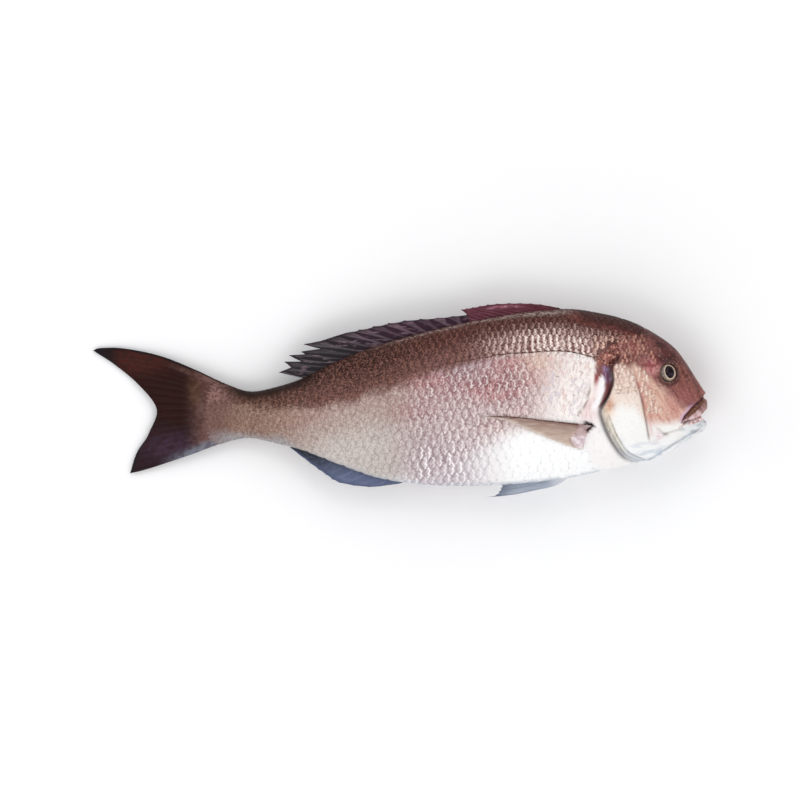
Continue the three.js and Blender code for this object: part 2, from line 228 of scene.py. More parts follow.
# the rows of scales are counted along the flank from the lateral line
tableAlong = np.linspace(0.16, 0.9995, 460)
tableTurn = np.linspace(-0.34, 0.34, 681)
tableRing = skin(tableAlong[:, None], tableTurn[None, :])
lateral = denseLine(lateralLine, 240)[::-1]
tableArc = np.linalg.norm(np.diff(tableRing, axis=1), axis=2).cumsum(1)
tableArc = np.hstack([np.zeros((len(tableAlong), 1)), tableArc])
above = tableRing[..., 1] - np.interp(tableRing[..., 0], lateral[:, 0], lateral[:, 1])
onFlank = np.abs(tableTurn) <= 0.25
lineArc = np.array([np.interp(0, gap[onFlank], arc[onFlank]) for gap, arc in zip(above, tableArc)])
lineX = np.array([np.interp(at, arc, ring[:, 0]) for at, arc, ring in zip(lineArc, tableArc, tableRing)])
spanTable = tableArc - lineArc[:, None]
spanStep = 0.5
spans = np.arange(-170.0, 130.1, spanStep)
turnTable = np.array([np.interp(spans, row, tableTurn) for row in spanTable])
print("skin table ready")


def alongAt(x):
    return np.interp(x, lineX[::-1], tableAlong[::-1])


# reads a table between its entries
def between(table, along, column):
    row = np.interp(along, tableAlong, np.arange(len(tableAlong)))
    row, column = (np.clip(at, 0, size - 1.001) for at, size in zip((row, column), table.shape))
    k, m = row.astype(int), column.astype(int)
    low = blend(table[k, m], table[k, m + 1], column - m)
    high = blend(table[k + 1, m], table[k + 1, m + 1], column - m)
    return blend(low, high, row - k)


def turnAt(along, span):
    return between(turnTable, along, (span - spans[0]) / spanStep)


def spanAt(along, turn):
    return between(spanTable, along, (turn - tableTurn[0]) / (tableTurn[1] - tableTurn[0]))


# how far the right flank stands over the middle plane, above a point of the plan
def flankRise(x, y):
    def behind(along):
        rib = spline(ribs, along)
        return (rib[..., 0] - rib[..., 2]) * (y - rib[..., 3]) > (rib[..., 1] - rib[..., 3]) * (x - rib[..., 2])
    rib = spline(ribs, bisect(np.zeros(x.shape), np.ones(x.shape), behind))
    height = (y - rib[..., 3]) / (rib[..., 1] - rib[..., 3])
    upper = height > rib[..., 5]
    reach = np.where(upper, 1 - rib[..., 5], rib[..., 5])
    power = np.where(upper, bodyForm["backPower"], bodyForm["bellyPower"])
    share = np.minimum(np.abs(height - rib[..., 5]) / reach, 1)
    return rib[..., 4] * (1 - share ** power) ** (1 / power)


# distance below the ridge of the back, and above the keel of the belly, in the plan
def belowRidge(x, y):
    return np.interp(x, ribs[::-1, 0], ribs[::-1, 1]) - y


def aboveKeel(x, y):
    return y - np.interp(x, ribs[::-1, 2], ribs[::-1, 3])


# one socket of a material, with arithmetic on it
class Wire:
    def __init__(self, paint, socket):
        self.paint, self.socket = paint, socket

    def math(self, operation, *values):
        return self.paint.add("ShaderNodeMath", {"operation": operation}, dict(enumerate(values)))

    def __add__(self, other):
        return self.math("ADD", self, other)

    def __sub__(self, other):
        return self.math("SUBTRACT", self, other)

    def __rsub__(self, other):
        return self.math("SUBTRACT", other, self)

    def __mul__(self, other):
        return self.math("MULTIPLY", self, other)

    __radd__, __rmul__ = __add__, __mul__

    def size(self):
        return self.math("ABSOLUTE", self)

    def wave(self):
        return self.math("SINE", self)

    # 0 below low and 1 above high, softly
    def rise(self, low, high):
        settings = {"interpolation_type": "SMOOTHSTEP"}
        return self.paint.add("ShaderNodeMapRange", settings, {0: self, 1: low, 2: high})


# a colour from its screen values
def ink(r, g, b):
    linear = [c / 12.92 if c <= 0.04045 else ((c + 0.055) / 1.055) ** 2.4 for c in (r / 255, g / 255, b / 255)]
    return (*linear, 1.0)


# a material, its nodes, and its values by name
class Paint:
    def __init__(self, name, **fixed):
        self.material = bpy.data.materials.new(name)
        self.material.use_nodes = True
        self.tree = self.material.node_tree
        self.shader = self.tree.nodes["Principled BSDF"]
        self.values = {}
        for socket, value in fixed.items():
            self.shader.inputs[socket.replace("_", " ")].default_value = value

    def add(self, kind, settings=None, inputs=None, output=0):
        node = self.tree.nodes.new(kind)
        for key, value in (settings or {}).items():
            setattr(node, key, value)
        for key, value in (inputs or {}).items():
            if isinstance(value, Wire):
                self.tree.links.new(value.socket, node.inputs[key])
            else:
                node.inputs[key].default_value = value
        return Wire(self, node.outputs[output])

    # a value of this paint, or else the mark of that name on the mesh
    def __getitem__(self, name):
        if name not in self.values:
            self.values[name] = self.add("ShaderNodeAttribute", {"attribute_name": name}, output=2)
        return self.values[name]

    def place(self, turned=0.0):
        at = self.add("ShaderNodeTexCoord", output=3)
        return self.add("ShaderNodeVectorRotate", None, {0: at, 3: turned}) if turned else at

    def noise(self, scale, detail=3.0, roughness=0.55, stretch=None, turned=0.0):
        at = self.place(turned)
        if stretch:
            at = self.add("ShaderNodeMapping", None, {0: at, 3: stretch})
        return self.add("ShaderNodeTexNoise", None, {0: at, 2: scale, 3: detail, 4: roughness})

    # a value by name, which may rise between two limits and have a strength
    def share(self, name, low=None, high=None, strength=1):
        return (self[name] if low is None else self[name].rise(low, high)) * strength

    # a tone is a screen colour, the name of a value, or two tones and the share of the second
    def tone(self, tone):
        if isinstance(tone, tuple):
            return ink(*tone)
        if isinstance(tone, list):
            return self.mix(tone[0], tone[1], self.share(*tone[2:]))
        return self[tone] if isinstance(tone, str) else tone

    def mix(self, a, b, share):
        inputs = {0: share, 6: self.tone(a), 7: self.tone(b)}
        return self.add("ShaderNodeMix", {"data_type": "RGBA"}, inputs, output=2)

    # lays tones over a colour: the values each one lies by, its strength, and the tone
    def layers(self, colour, table):
        for names, strength, tone in table:
            share = strength
            for name in names.split():
                share = self[name] * share
            colour = self.mix(colour, tone, share)
        return colour

    def feed(self, **wires):
        for socket, wire in wires.items():
            self.tree.links.new(wire.socket, self.shader.inputs[socket.replace("_", " ")])

    def bump(self, height, distance):
        self.feed(Normal=self.add("ShaderNodeBump", None, {1: distance, 3: height}))


def addObject(name, data):
    thing = bpy.data.objects.new(name, data)
    bpy.context.collection.objects.link(thing)
    return thing


# a mesh made by an operator, and the places of its vertices
def rawMesh(name, operator, copies=1, **options):
    bm = bmesh.new()
    for _ in range(copies):
        operator(bm, **options)
    mesh = bpy.data.meshes.new(name)
    bm.to_mesh(mesh)
    bm.free()
    flat = np.zeros(len(mesh.vertices) * 3, np.float32)
    mesh.vertices.foreach_get("co", flat)
    return mesh, flat.reshape(-1, 3).astype(float)


# a grid of quads, and the place of each vertex in it from 0 to 1
def gridMesh(name, columns, rows, copies=1):
    mesh, places = rawMesh(name, bmesh.ops.create_grid, copies, x_segments=columns, y_segments=rows, size=0.5)
    return mesh, places[:, 0] + 0.5, places[:, 1] + 0.5


# moves the vertices of a mesh made by operators, welds it and turns its faces outwards
def finishPiece(name, mesh, points, marks, paint, node="fish", weld=1e-6):
    mesh.vertices.foreach_set("co", (points / 1000).astype(np.float32).ravel())
    for mark, values in marks.items():
        attribute = mesh.attributes.new(mark, "FLOAT", "POINT")
        attribute.data.foreach_set("value", np.asarray(values, np.float32).ravel())
    if weld:
        bm = bmesh.new()
        bm.from_mesh(mesh)
        bmesh.ops.remove_doubles(bm, verts=bm.verts, dist=weld)
        flat = [face for face in bm.faces if face.calc_area() < 1e-13]
        bmesh.ops.delete(bm, geom=flat, context="FACES_ONLY")
        bmesh.ops.recalc_face_normals(bm, faces=bm.faces)
        bm.to_mesh(mesh)
        bm.free()
    mesh.shade_smooth()
    mesh.materials.append(paint.material)
    piece = addObject(name, mesh)
    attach(piece, "root")
    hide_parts(node)
    print(name, len(mesh.polygons), "faces")


# the colour zones of the trunk
zones = {
    # where each edge runs, in millimetres round the flank from the lateral line, and how softly
    "edges": {
        "back": [
            [-165, 8.0], [-121, 5.5], [-93, -3.0], [-65, -10.5], [-38, -12.0], [-10, -11.5], [18, -7.0],
            [50, -4.0], [80, -1.0], [110, 0.0], [154, 0.0], [162, -5.0], [172, -10.0], [250, -10.0],
        ],
        "backBlend": [
            [-165, 8.0], [-120, 8.5], [-60, 9.5], [0, 10.0], [50, 7.5],
            [84, 3.0], [104, 1.6], [156, 1.5], [166, 3.0], [250, 5.0],
        ],
        "white": [
            [-165, -30.0], [-120, -30.0], [-60, -56.0], [-20, -84.0], [20, -90.0], [45, -86.0],
            [65, -76.0], [85, -68.0], [105, -63.0], [150, -52.0], [172, -46.0], [250, -46.0],
        ],
        "whiteBlend": [[-165, 5.0], [-60, 14.0], [20, 16.0], [65, 15.0], [100, 13.0], [200, 12.0]],
        "silver": [[-165, -17.0], [-138, -17.0], [-120, -20.5], [-96, -26.5], [-70, -50.0]],
    },
    "spots": {                # x, y, half length, half height
        "lilac": (54, 27, 28, 10),
        "cream": (108, 32, 16, 9),
        "dusk": (18, -40, 32, 32),
    },
    "blotches": [             # and strength
        [88, 31, 17, 9, 0.85], [84, 9, 22, 15, 0.95], [108, 16, 12, 12, 0.45], [104, -8, 16, 8, 0.5],
        [68, 8, 22, 9, 0.5], [12, 12, 16, 5, 0.6], [10, 19, 26, 5, 0.9], [8, -9, 26, 9, 0.35],
        [6, -12, 18, 10, 0.45], [-70, -14, 22, 8, 0.25], [-92, -14, 12, 8, 0.3], [128, 30, 8, 5, 0.25],
        [76, -20, 24, 6, 0.5], [36, 12, 18, 9, 0.3],
    ],
}
# a first tone, and layers over it: the values each lies by, its strength and its tone, where a list is
# two tones and what mixes them
zoneTones = [[(168, 133, 134), (224, 202, 196), "front"], [(206, 188, 190), (246, 238, 234), "front"], "sink"], [
    ("rear", 1, [(170, 144, 136), (202, 195, 190), "sink"]),
    ("tail", 1, [(136, 107, 94), (150, 132, 126), "sink"]),
    ("pearl", 0.8, (253, 248, 244)),
    ("lilac", 0.7, (154, 128, 138)),
    ("cream", 0.7, (228, 198, 174)),
    ("blotch", 0.75, [[(176, 104, 108), (136, 62, 70), "breakUp", 0.45, 0.6], (158, 108, 96), "rear"]),
    ("belly", 1, [
        [[(252, 253, 254), (200, 198, 198), "rear"], (150, 132, 126), "tail"], (190, 176, 182), "brightBelly",
    ]),
    ("dusk", 0.6, (164, 144, 148)),
    # blue-grey painted shade along the keel, where the belly turns away below
    ("keel keelFlecks", 0.7, (178, 190, 200)),
    ("back", 1, [
        [[(78, 41, 36), (58, 34, 30), "rear"], (34, 19, 16), "tail"],
        [[(128, 90, 85), (110, 76, 70), "rear"], (86, 57, 48), "tail"], "fall",
    ]),
    ("stem", 0.85, [(106, 76, 70), (70, 42, 38), "stemBack"]),
    ("silver", 0.85, (160, 164, 170)),
]


def zoneMarks(x, y, span):
    edge = {key: lookUp(table, x) for key, table in zones["edges"].items()}
    below = span - edge["back"]
    marks = {name: spot(x, y, place) for name, place in zones["spots"].items()}
    blotches = sum(strength * spot(x, y, place) for *place, strength in zones["blotches"])
    marks.update({
        "back": smooth(-edge["backBlend"], edge["backBlend"], below),
        "belly": smooth(edge["whiteBlend"], -edge["whiteBlend"], span - edge["white"]),
        "front": smooth(56, 124, x),
        "rear": smooth(30, -16, x),
        "tail": smooth(-50, -125, x),
        "stem": smooth(-126, -150, x),
        "pearl": smooth(112, 142, x),
        "blotch": np.clip(blotches, 0, 1),
        "bright": smooth(-6, 20, x) * smooth(100, 40, x) * smooth(-56, -76, span),
        "fall": smooth(30, 2, below),
        "sink": smooth(-12, -58, span),
        "silver": smooth(5.5, -5.5, span - edge["silver"]) * smooth(-76, -96, x) * smooth(-158, -136, x, 0.35),
        # keel: where the painted shade along the belly edge lies
        "keel": smooth(3.4, 0.4, aboveKeel(x, y)) * smooth(-60, 20, x),
    })
    return marks


def zoneColour(p, breakUp):
    p.values.update(
        back=(p["back"] + (breakUp - 0.5) * 0.5).rise(0.05, 0.95),
        belly=(p["belly"] + (breakUp - 0.5) * 0.4).rise(0.05, 0.95),
        breakUp=breakUp,
        keelFlecks=breakUp.rise(0.3, 0.5),
        brightBelly=p["bright"] * 0.8,
    )
    p.values["stemBack"] = p["back"] * 0.8
    return p.layers(*zoneTones)


# the trunk under the scales, and the bare shoulder behind the gill cover
trunkForm = {
    "columns": 190,
    "rows": 200,
    "underScales": 0.42,      # how far the skin lies under the tips of the scales
    "slitDepth": 4.4,
    "slitWidth": 1.6,
    "hiddenFront": 9.0,       # how far it runs on under the gill cover
    # x where the scales begin, by y
    "nape": [[33.0, 161.5], [38.0, 164.5], [44.5, 174.0], [52.6, 192.0], [58.3, 199.6], [75.0, 203.0]],
    "shoulder": [
        [-70, 172], [-60, 164], [-45, 152], [-30, 147], [-15.6, 143],
        [-2, 152], [5, 157], [14, 158], [28, 159], [33, 161.5],
    ],
    # a dark flap bends round the top of the pale wedge, half as wide as said along it
    "flap": [[158.4, 11.5], [159.8, 19.0], [163.5, 25.0], [168.0, 24.0], [169.8, 15.0], [168.8, 6.5], [162.4, -5.5]],
    "flapWidth": [[0, 0.5], [0.12, 1.7], [0.3, 4.4], [0.5, 3.6], [0.75, 2.8], [1.0, 0.9]],
    "flush": [[152, -2, 10, 17, 1.0], [153, 21, 9, 13, 0.8]],     # x, y, half length, half height, strength
}
trunkTones = [
    ("bare lower", 0.95, [
        [(246, 243, 242), (226, 228, 232), "streaks", 0.5, 0.75, 0.6],
        [(236, 212, 210), (214, 172, 172), "streaks", 0.45, 0.65], "flush",
    ]),
    ("bareTop upper", 1, [
        [(84, 44, 42), (150, 92, 84), "blots", 0.4, 0.56], (226, 172, 152), "glints", 0.55, 0.62, 0.75,
    ]),
    ("wedge bare", 1, (250, 247, 250)),
]
# over the skin, and over the scales next to it
shoulderTones = [
    ("border", 0.85, (132, 98, 92)),
    ("maroon", 1, [
        [
            [
                [(158, 76, 76), (128, 84, 84), "flapAt", 0.08, 0.24],
                # a painted lilac highlight over the top of the flap
                [(172, 146, 186), (128, 90, 110), "streaks", 0.38, 0.56], "flapAt", 0.28, 0.36,
            ],
            (140, 86, 90), "flapAt", 0.48, 0.6,
        ],
        (92, 54, 56), "patches", 0.5, 0.7, 0.5,
    ]),
    # painted shade in the gill slit
    ("slit", 0.85, (74, 48, 46)),
    # painted shadow in the axil pit at the root of the pectoral fin
    ("pit", 1, (20, 15, 17)),
]
gill = denseLine(gillLine, 120)
gillFlank = gill[24:112]      # without its ends at the back and the throat


def marginX(y):
    return np.interp(y, gill[::-1, 1], gill[::-1, 0])


# along the body, where the gill margin crosses each turn
def marginAlong(turn, shift=0.0):
    def ahead(along):
        point = skin(along, turn)
        return point[..., 0] > marginX(point[..., 1]) + shift
    return bisect(np.full(turn.shape, 0.06), np.full(turn.shape, 0.62), ahead)


# 1 where scales cover the skin
def scaled(x, y):
    return smooth(2.5, -2.5, x - np.where(y > 33, lookUp(trunkForm["nape"], y), lookUp(trunkForm["shoulder"], y)))


def shoulderRelief(x, y):
    f = trunkForm
    margin, _ = lineField(gillFlank, x, y)
    ridge, share = lineField(cleithrumLine, x, y)
    pit, pitShare = lineField(axilLine, x, y)
    gap = smooth(39, 32, y) * smooth(-64, -46, y)
    wide = f["slitWidth"] + 2.6 * smooth(6, 16, y)
    slit = smooth(-wide - 2.6, -wide + 1.4, margin)
    height = -f["slitDepth"] * slit * gap - 0.5 * (1 - gap) * smooth(-2, 2, margin)
    height += 0.9 * hump(0, 2.6, ridge) * ends(share, 0.2) * (1 - slit)
    height -= 1.4 * hump(0, 0.9, pit) * ends(pitShare, 0.2)
    return height - f["underScales"] * scaled(x, y)


def shoulderMarks(x, y):
    f = trunkForm
    margin, _ = lineField(gillFlank, x, y)
    pit, pitShare = lineField(axilLine, x, y)
    border, borderShare = lineField(shoulderLine, x, y)
    flap, flapShare = lineField(f["flap"], x, y)
    width = lookUp(f["flapWidth"], flapShare)
    return {
        "flap": flapShare,
        "maroon": smooth(width + 0.9, width - 0.9, np.abs(flap)) * smooth(33, 29, y),
        # slit: painted shade in the gill opening
        "slit": smooth(-2.6, -0.6, margin) * smooth(40, 34, y) * smooth(-12, 2, y, 0.35),
        # pit: painted shadow in the axil pit at the root of the pectoral fin
        "pit": smooth(1.7, 0.8, np.abs(pit)) * ends(pitShare, 0.1),
        "border": hump(0, 0.75, border) * ends(borderShare, 0.2),
    }


def paintShoulder(p, colour, patches, streaks):
    p.values.update(patches=patches, streaks=streaks, flapAt=p["flap"] + (patches - 0.5) * 0.15)
    return p.layers(colour, shoulderTones)


def makeTrunkPaint():
    p = Paint("wetSkin", Coat_Roughness=0.14, Specular_IOR_Level=0.1)
    patches, fine = p.noise(90.0), p.noise(700.0, 2.0)
    streaks = p.noise(260.0, stretch=(1.6, 0.5, 1.0))
    colour = zoneColour(p, patches)
    p.values["lower"] = 1 - p["upper"]
    p.values["bare"] = p["bare"] * (1 - p["back"] * p["lower"])
    p.values.update(
        bareTop=p["bare"].rise(0.0, 0.4),
        streaks=streaks,
        blots=p.noise(230.0, 4.0, 0.7),
        glints=p.noise(430.0, 3.0, 0.65),
    )
    colour = paintShoulder(p, p.layers(colour, trunkTones), patches, streaks)
    colour = p.mix(colour, (120, 90, 90), fine.rise(0.55, 0.75) * 0.12)
    p.feed(Base_Color=colour, Roughness=0.28 + patches * 0.2, Coat_Weight=p.noise(40.0) * 0.12)
    p.bump(fine, 0.00012)
    return p


# the turn of each vertex of a grid, and the same on the right side
def turns(v):
    turn = v - 0.25
    return turn, np.where(turn > 0.25, 0.5 - turn, turn)


def makeTrunk():
    f = trunkForm
    mesh, u, v = gridMesh("trunkSkin", f["columns"], f["rows"])
    turn, mirrored = turns(v)
    start = marginAlong(mirrored, f["hiddenFront"])
    along = start + (1 - start) * u
    x, y, _ = skin(along, mirrored).T
    ridge, share = lineField(cleithrumLine, x, y)
    marks = {
        **zoneMarks(x, y, spanAt(along, mirrored)),
        **shoulderMarks(x, y),
        "bare": 1 - scaled(x, y),
        "upper": smooth(22, 27, y) * smooth(156, 161, x),
        "flush": np.clip(sum(strength * spot(x, y, place) for *place, strength in f["flush"]), 0, 1),
        "wedge": hump(0, 3.0, ridge) * ends(share, 0.15),
    }
    height = shoulderRelief(x, y) * smooth(1.0, 0.985, along)
    finishPiece("trunkSkin", mesh, onSkin(along, turn, height), marks, makeTrunkPaint())


makeTrunk()

# the scales: one overlapping shell each, with its free edge towards the tail
scaleForm = {
    "lengthBelow": [[-165, 4.1], [-110, 5.2], [-60, 6.0], [0, 6.5], [60, 6.5], [160, 6.3], [205, 5.4]],
    "lengthAbove": [[-165, 4.0], [-110, 4.9], [-60, 5.4], [0, 5.7], [80, 5.1], [205, 4.5]],
    "rowBelow": [[-165, 3.8], [-110, 4.8], [-50, 5.8], [0, 6.3], [60, 6.3], [110, 5.7], [160, 5.4], [205, 5.0]],
    "rowAbove": [[-165, 4.2], [-100, 5.0], [-40, 5.9], [40, 6.4], [100, 6.0], [205, 5.2]],
    "widen": 0.026,           # growth of each row towards the belly
    "alignedAt": 30.0,        # x where the rows are exactly staggered
    "reachBack": 0.70,        # of the length, from the middle to the free edge
    "reachFront": 0.45,
    "halfWidth": 0.74,        # of the row
    "point": 1.7,             # outline of the free edge, 1 is an arrow and 2 is round
    "pointBelow": 1.25,       # the same low on the flank
    "tilt": 0.034,            # rise towards the free edge
    "seat": 0.06,
    "sideDrop": 0.05,
    "skirt": 0.9,             # how far the edge is carried down under the surface
    "lift": 0.02,             # random differences from scale to scale
    "turnDegrees": 5.0,
    "steps": [0, 0, 0.07, 0.32, 0.62, 1.0],     # across each scale from under its free edge to its front
    "rows": 10,
    "rowNumbers": (-22, 16),
    "stations": (206.0, -158.0, 729),
    "scatter": 0.05,          # of the length
    "sizes": 0.06,
    "tilts": 0.35,
    # how dark the lateral line is, and how far below the ridge the pale crest lies, by x
    "lateral": [[-140, 0.0], [-110, 0.5], [-80, 0.25], [0, 0.3], [40, 0.6], [110, 1.0], [166, 1.0], [172, 0.0]],
    "crestAt": [[60, 1.3], [110, 2.0], [140, 2.4]],
    "crestWidth": [[60, 0.9], [110, 1.8], [140, 2.2]],
    "seed": 11,
}
scaleTones = {
    # the dark tone: painted shade just behind each free edge, where the scale in front overlaps, and under the free
    # edge itself; the same tone makes dark lines and specks
    "dark": ([[(120, 84, 86), (126, 102, 95), "rear"], (84, 52, 42), "tail"], [
        ("bellyFront", 1, (160, 158, 166)),
        ("back", 1, [(42, 21, 18), (26, 14, 12), "tail"]),
        ("lit", 0.8, (92, 50, 48)),
        ("bright", 1, (124, 106, 116)),
    ]),
    # the pale tone: the upright painted highlight before it, where a scale catches the light; the same tone makes pale
    # lines and specks
    "glow": ([[(252, 244, 242), (216, 206, 199), "rear"], (180, 152, 138), "tail"], [
        ("bright", 1, (255, 250, 255)),
        ("back", 1, [[(166, 118, 104), (158, 118, 102), "tail"], (255, 236, 230), "shine"]),
        ("gold back", 0.8, (226, 176, 156)),
    ]),
    "all": [
        # a painted highlight: the brown lightened over the front of the back, where the highlights on the scales are
        # strongest
        ("lit shine", 0.5, (206, 168, 160)),
        ("gold back", 0.4, (112, 58, 54)),
        # painted shade where each scale runs under the one in front, and under each free edge
        ("gapDark", 1, "dark"),
        ("underDark", 1, "dark"),
        # painted highlight: an upright streak on each scale
        ("streak", 1, "glow"),
        ("grainGlow", 1, "glow"),     # fine upright lines and specks over all of it
        ("grainDark", 1, "dark"),
        ("dotDark", 1, "dark"),
        ("dotGlow", 1, "glow"),
        ("brushed calm flank", 0.6, [(214, 178, 174), (206, 196, 206), "patches", 0.45, 0.55]),
        ("crownEdge back", 0.8, [
            [(134, 68, 64), (72, 38, 36), "crown", 0.3, 0.9], (44, 24, 23), "speckle", 0.35, 0.6, 0.8,
        ]),
        ("stemEnd", 1, [(146, 110, 104), (104, 72, 66), "speckle", 0.4, 0.6]),
        # painted shade along the ridge of the back, where the body turns away
        ("ridgeLine", 1, (34, 19, 16)),
        ("crest", 0.7, [(188, 172, 168), (88, 60, 56), "speckle", 0.4, 0.58]),
        ("dash lateral", 1, (70, 42, 40)),
    ],
}


def scaleSize(key, x):
    return lookUp(scaleForm[key], x)


# where a row runs, and how wide it is there
def rowSpan(row, x):
    if row >= 0:
        return row * scaleSize("rowAbove", x), scaleSize("rowAbove", x)
    size, widen = scaleSize("rowBelow", x), scaleForm["widen"]
    return size * row * (1 - widen * row), size * (1 - 2 * widen * row)


def scaleCentres(random):
    f = scaleForm
    stations = np.linspace(*f["stations"])
    found = []
    for row in range(*f["rowNumbers"]):
        span, width = rowSpan(row, stations)
        length = blend(scaleSize("lengthBelow", stations), scaleSize("lengthAbove", stations), smooth(-6, 10, span))
        count = np.cumsum(-np.gradient(stations) / length)
        count -= np.interp(-f["alignedAt"], -stations, count)
        x = np.interp(np.arange(math.ceil(count[0]), count[-1]) + 0.5 * (row % 2), count, stations)
        span, length, width = (np.interp(x, stations[::-1], values[::-1]) for values in (span, length, width))
        found.append(np.stack([x, span, 0 * x + row, length, width], -1))
    centres = np.vstack(found)
    centres[:, :2] += f["scatter"] * centres[:, 3:4] * random.normal(size=(len(centres), 2))
    along = alongAt(centres[:, 0])
    turn = turnAt(along, centres[:, 1])
    x, y, _ = skin(along, turn).T
    return centres[(np.abs(turn) < 0.2515) & (scaled(x + np.where(y < 46, 3.4, 0), y) > 0.5)]


# centres has x, span, row, length and width of each scale; those below fadeAt sink into the skin
def scaleShells(name, centres, side, paint, zoneOf=zoneMarks, relief=None, slimmer=1.0, fadeAt=None):
    f = scaleForm
    random = np.random.default_rng(f["seed"] + (side < 0))
    columns = len(f["steps"]) - 1
    mesh, u, v = gridMesh(name, columns, f["rows"], len(centres))
    which = np.repeat(np.arange(len(centres)), (columns + 1) * (f["rows"] + 1))
    x0, span0, row0, length, width = centres[which].T
    sizeChance, yawChance, tiltChance, liftChance, seed = random.random((len(centres), 5))[which].T
    size = 1 + f["sizes"] * (sizeChance - 0.5)
    t = np.interp(u, np.linspace(0, 1, columns + 1), f["steps"])
    across = np.sin((v - 0.5) * np.pi)
    point = blend(f["point"], f["pointBelow"], smooth(-50, -74, span0))
    rear = -f["reachBack"] * size * (1 - np.abs(across) ** point)
    du = rear + (f["reachFront"] - rear) * t
    # how far the free edges of the scales in front are
    nextRow = 1 / f["halfWidth"] - np.abs(across)
    sameRow, otherRow = (1 - f["reachBack"] * (1 - off ** point) for off in (np.abs(across), nextRow))
    ahead = np.minimum(sameRow, otherRow - 0.5) - du
    du, dw = du * length, f["halfWidth"] * width * size * across
    yaw = np.radians(f["turnDegrees"]) * (yawChance - 0.5) * 2
    du, dw = du * np.cos(yaw) - dw * np.sin(yaw), du * np.sin(yaw) + dw * np.cos(yaw)
    calm = np.maximum(
        smooth(100, 124, x0) * smooth(-1, -4, span0),
        smooth(66, 116, x0 - 0.5 * (span0 + 70)) * smooth(-52, -68, span0),
    )
    standing = 1 - np.maximum(0.75 * calm, 0.4 * smooth(20, -30, x0))
    height = f["seat"] - f["tilt"] * du * (1 + f["tilts"] * (tiltChance - 0.5)) * standing
    height += f["lift"] * (liftChance - 0.5) * 2 - f["sideDrop"] * across ** 2 * standing
    height = height * slimmer - f["skirt"] * (u < 0.5 / columns)
    along = alongAt(x0 + du)
    turn = turnAt(along, span0 + dw)
    x, y, _ = skin(along, turn).T
    if relief:
        height = height + relief(x, y, turn)
    if fadeAt is not None:
        height = height - 0.5 * smooth(fadeAt + 8, fadeAt - 2, y)
    onLine = row0 == 0
    below = belowRidge(x, y)
    ragged = 2 * (seed - 0.5) * ~onLine * (np.abs(x0 - 130) > 40)
    crest = hump(lookUp(f["crestAt"], x0), lookUp(f["crestWidth"], x0), below)
    rearRidge = smooth(10, 3, below) * smooth(-56, -84, x0)
    marks = {
        **zoneOf(x, y, span0 + dw + ragged),
        **shoulderMarks(x, y),
        "seed": seed,
        "rim": t,
        "ahead": ahead,
        "across": across,
        "calm": calm,
        "lateral": onLine * lookUp(f["lateral"], x0),
        # shine: where the painted highlights on the back are strongest
        "shine": smooth(40, 112, x0) * smooth(32, 9, span0) * smooth(196, 166, x0),
        "gold": smooth(146, 166, x0) * smooth(-2, 6, span0) * smooth(24, 12, span0, 0.35),
        "crest": crest * smooth(-40, 20, x0) * smooth(150, 122, x0),
        # ridge: where the painted shade along the ridge of the back lies
        "ridge": np.maximum(rearRidge, smooth(0.205, 0.24, turn) * smooth(112, 140, x0)),
        "crown": smooth(17, 3, below) * smooth(126, 158, x0),
    }
    finishPiece(name, mesh, onSkin(along, turn if side > 0 else 0.5 - turn, height), marks, paint, weld=0)


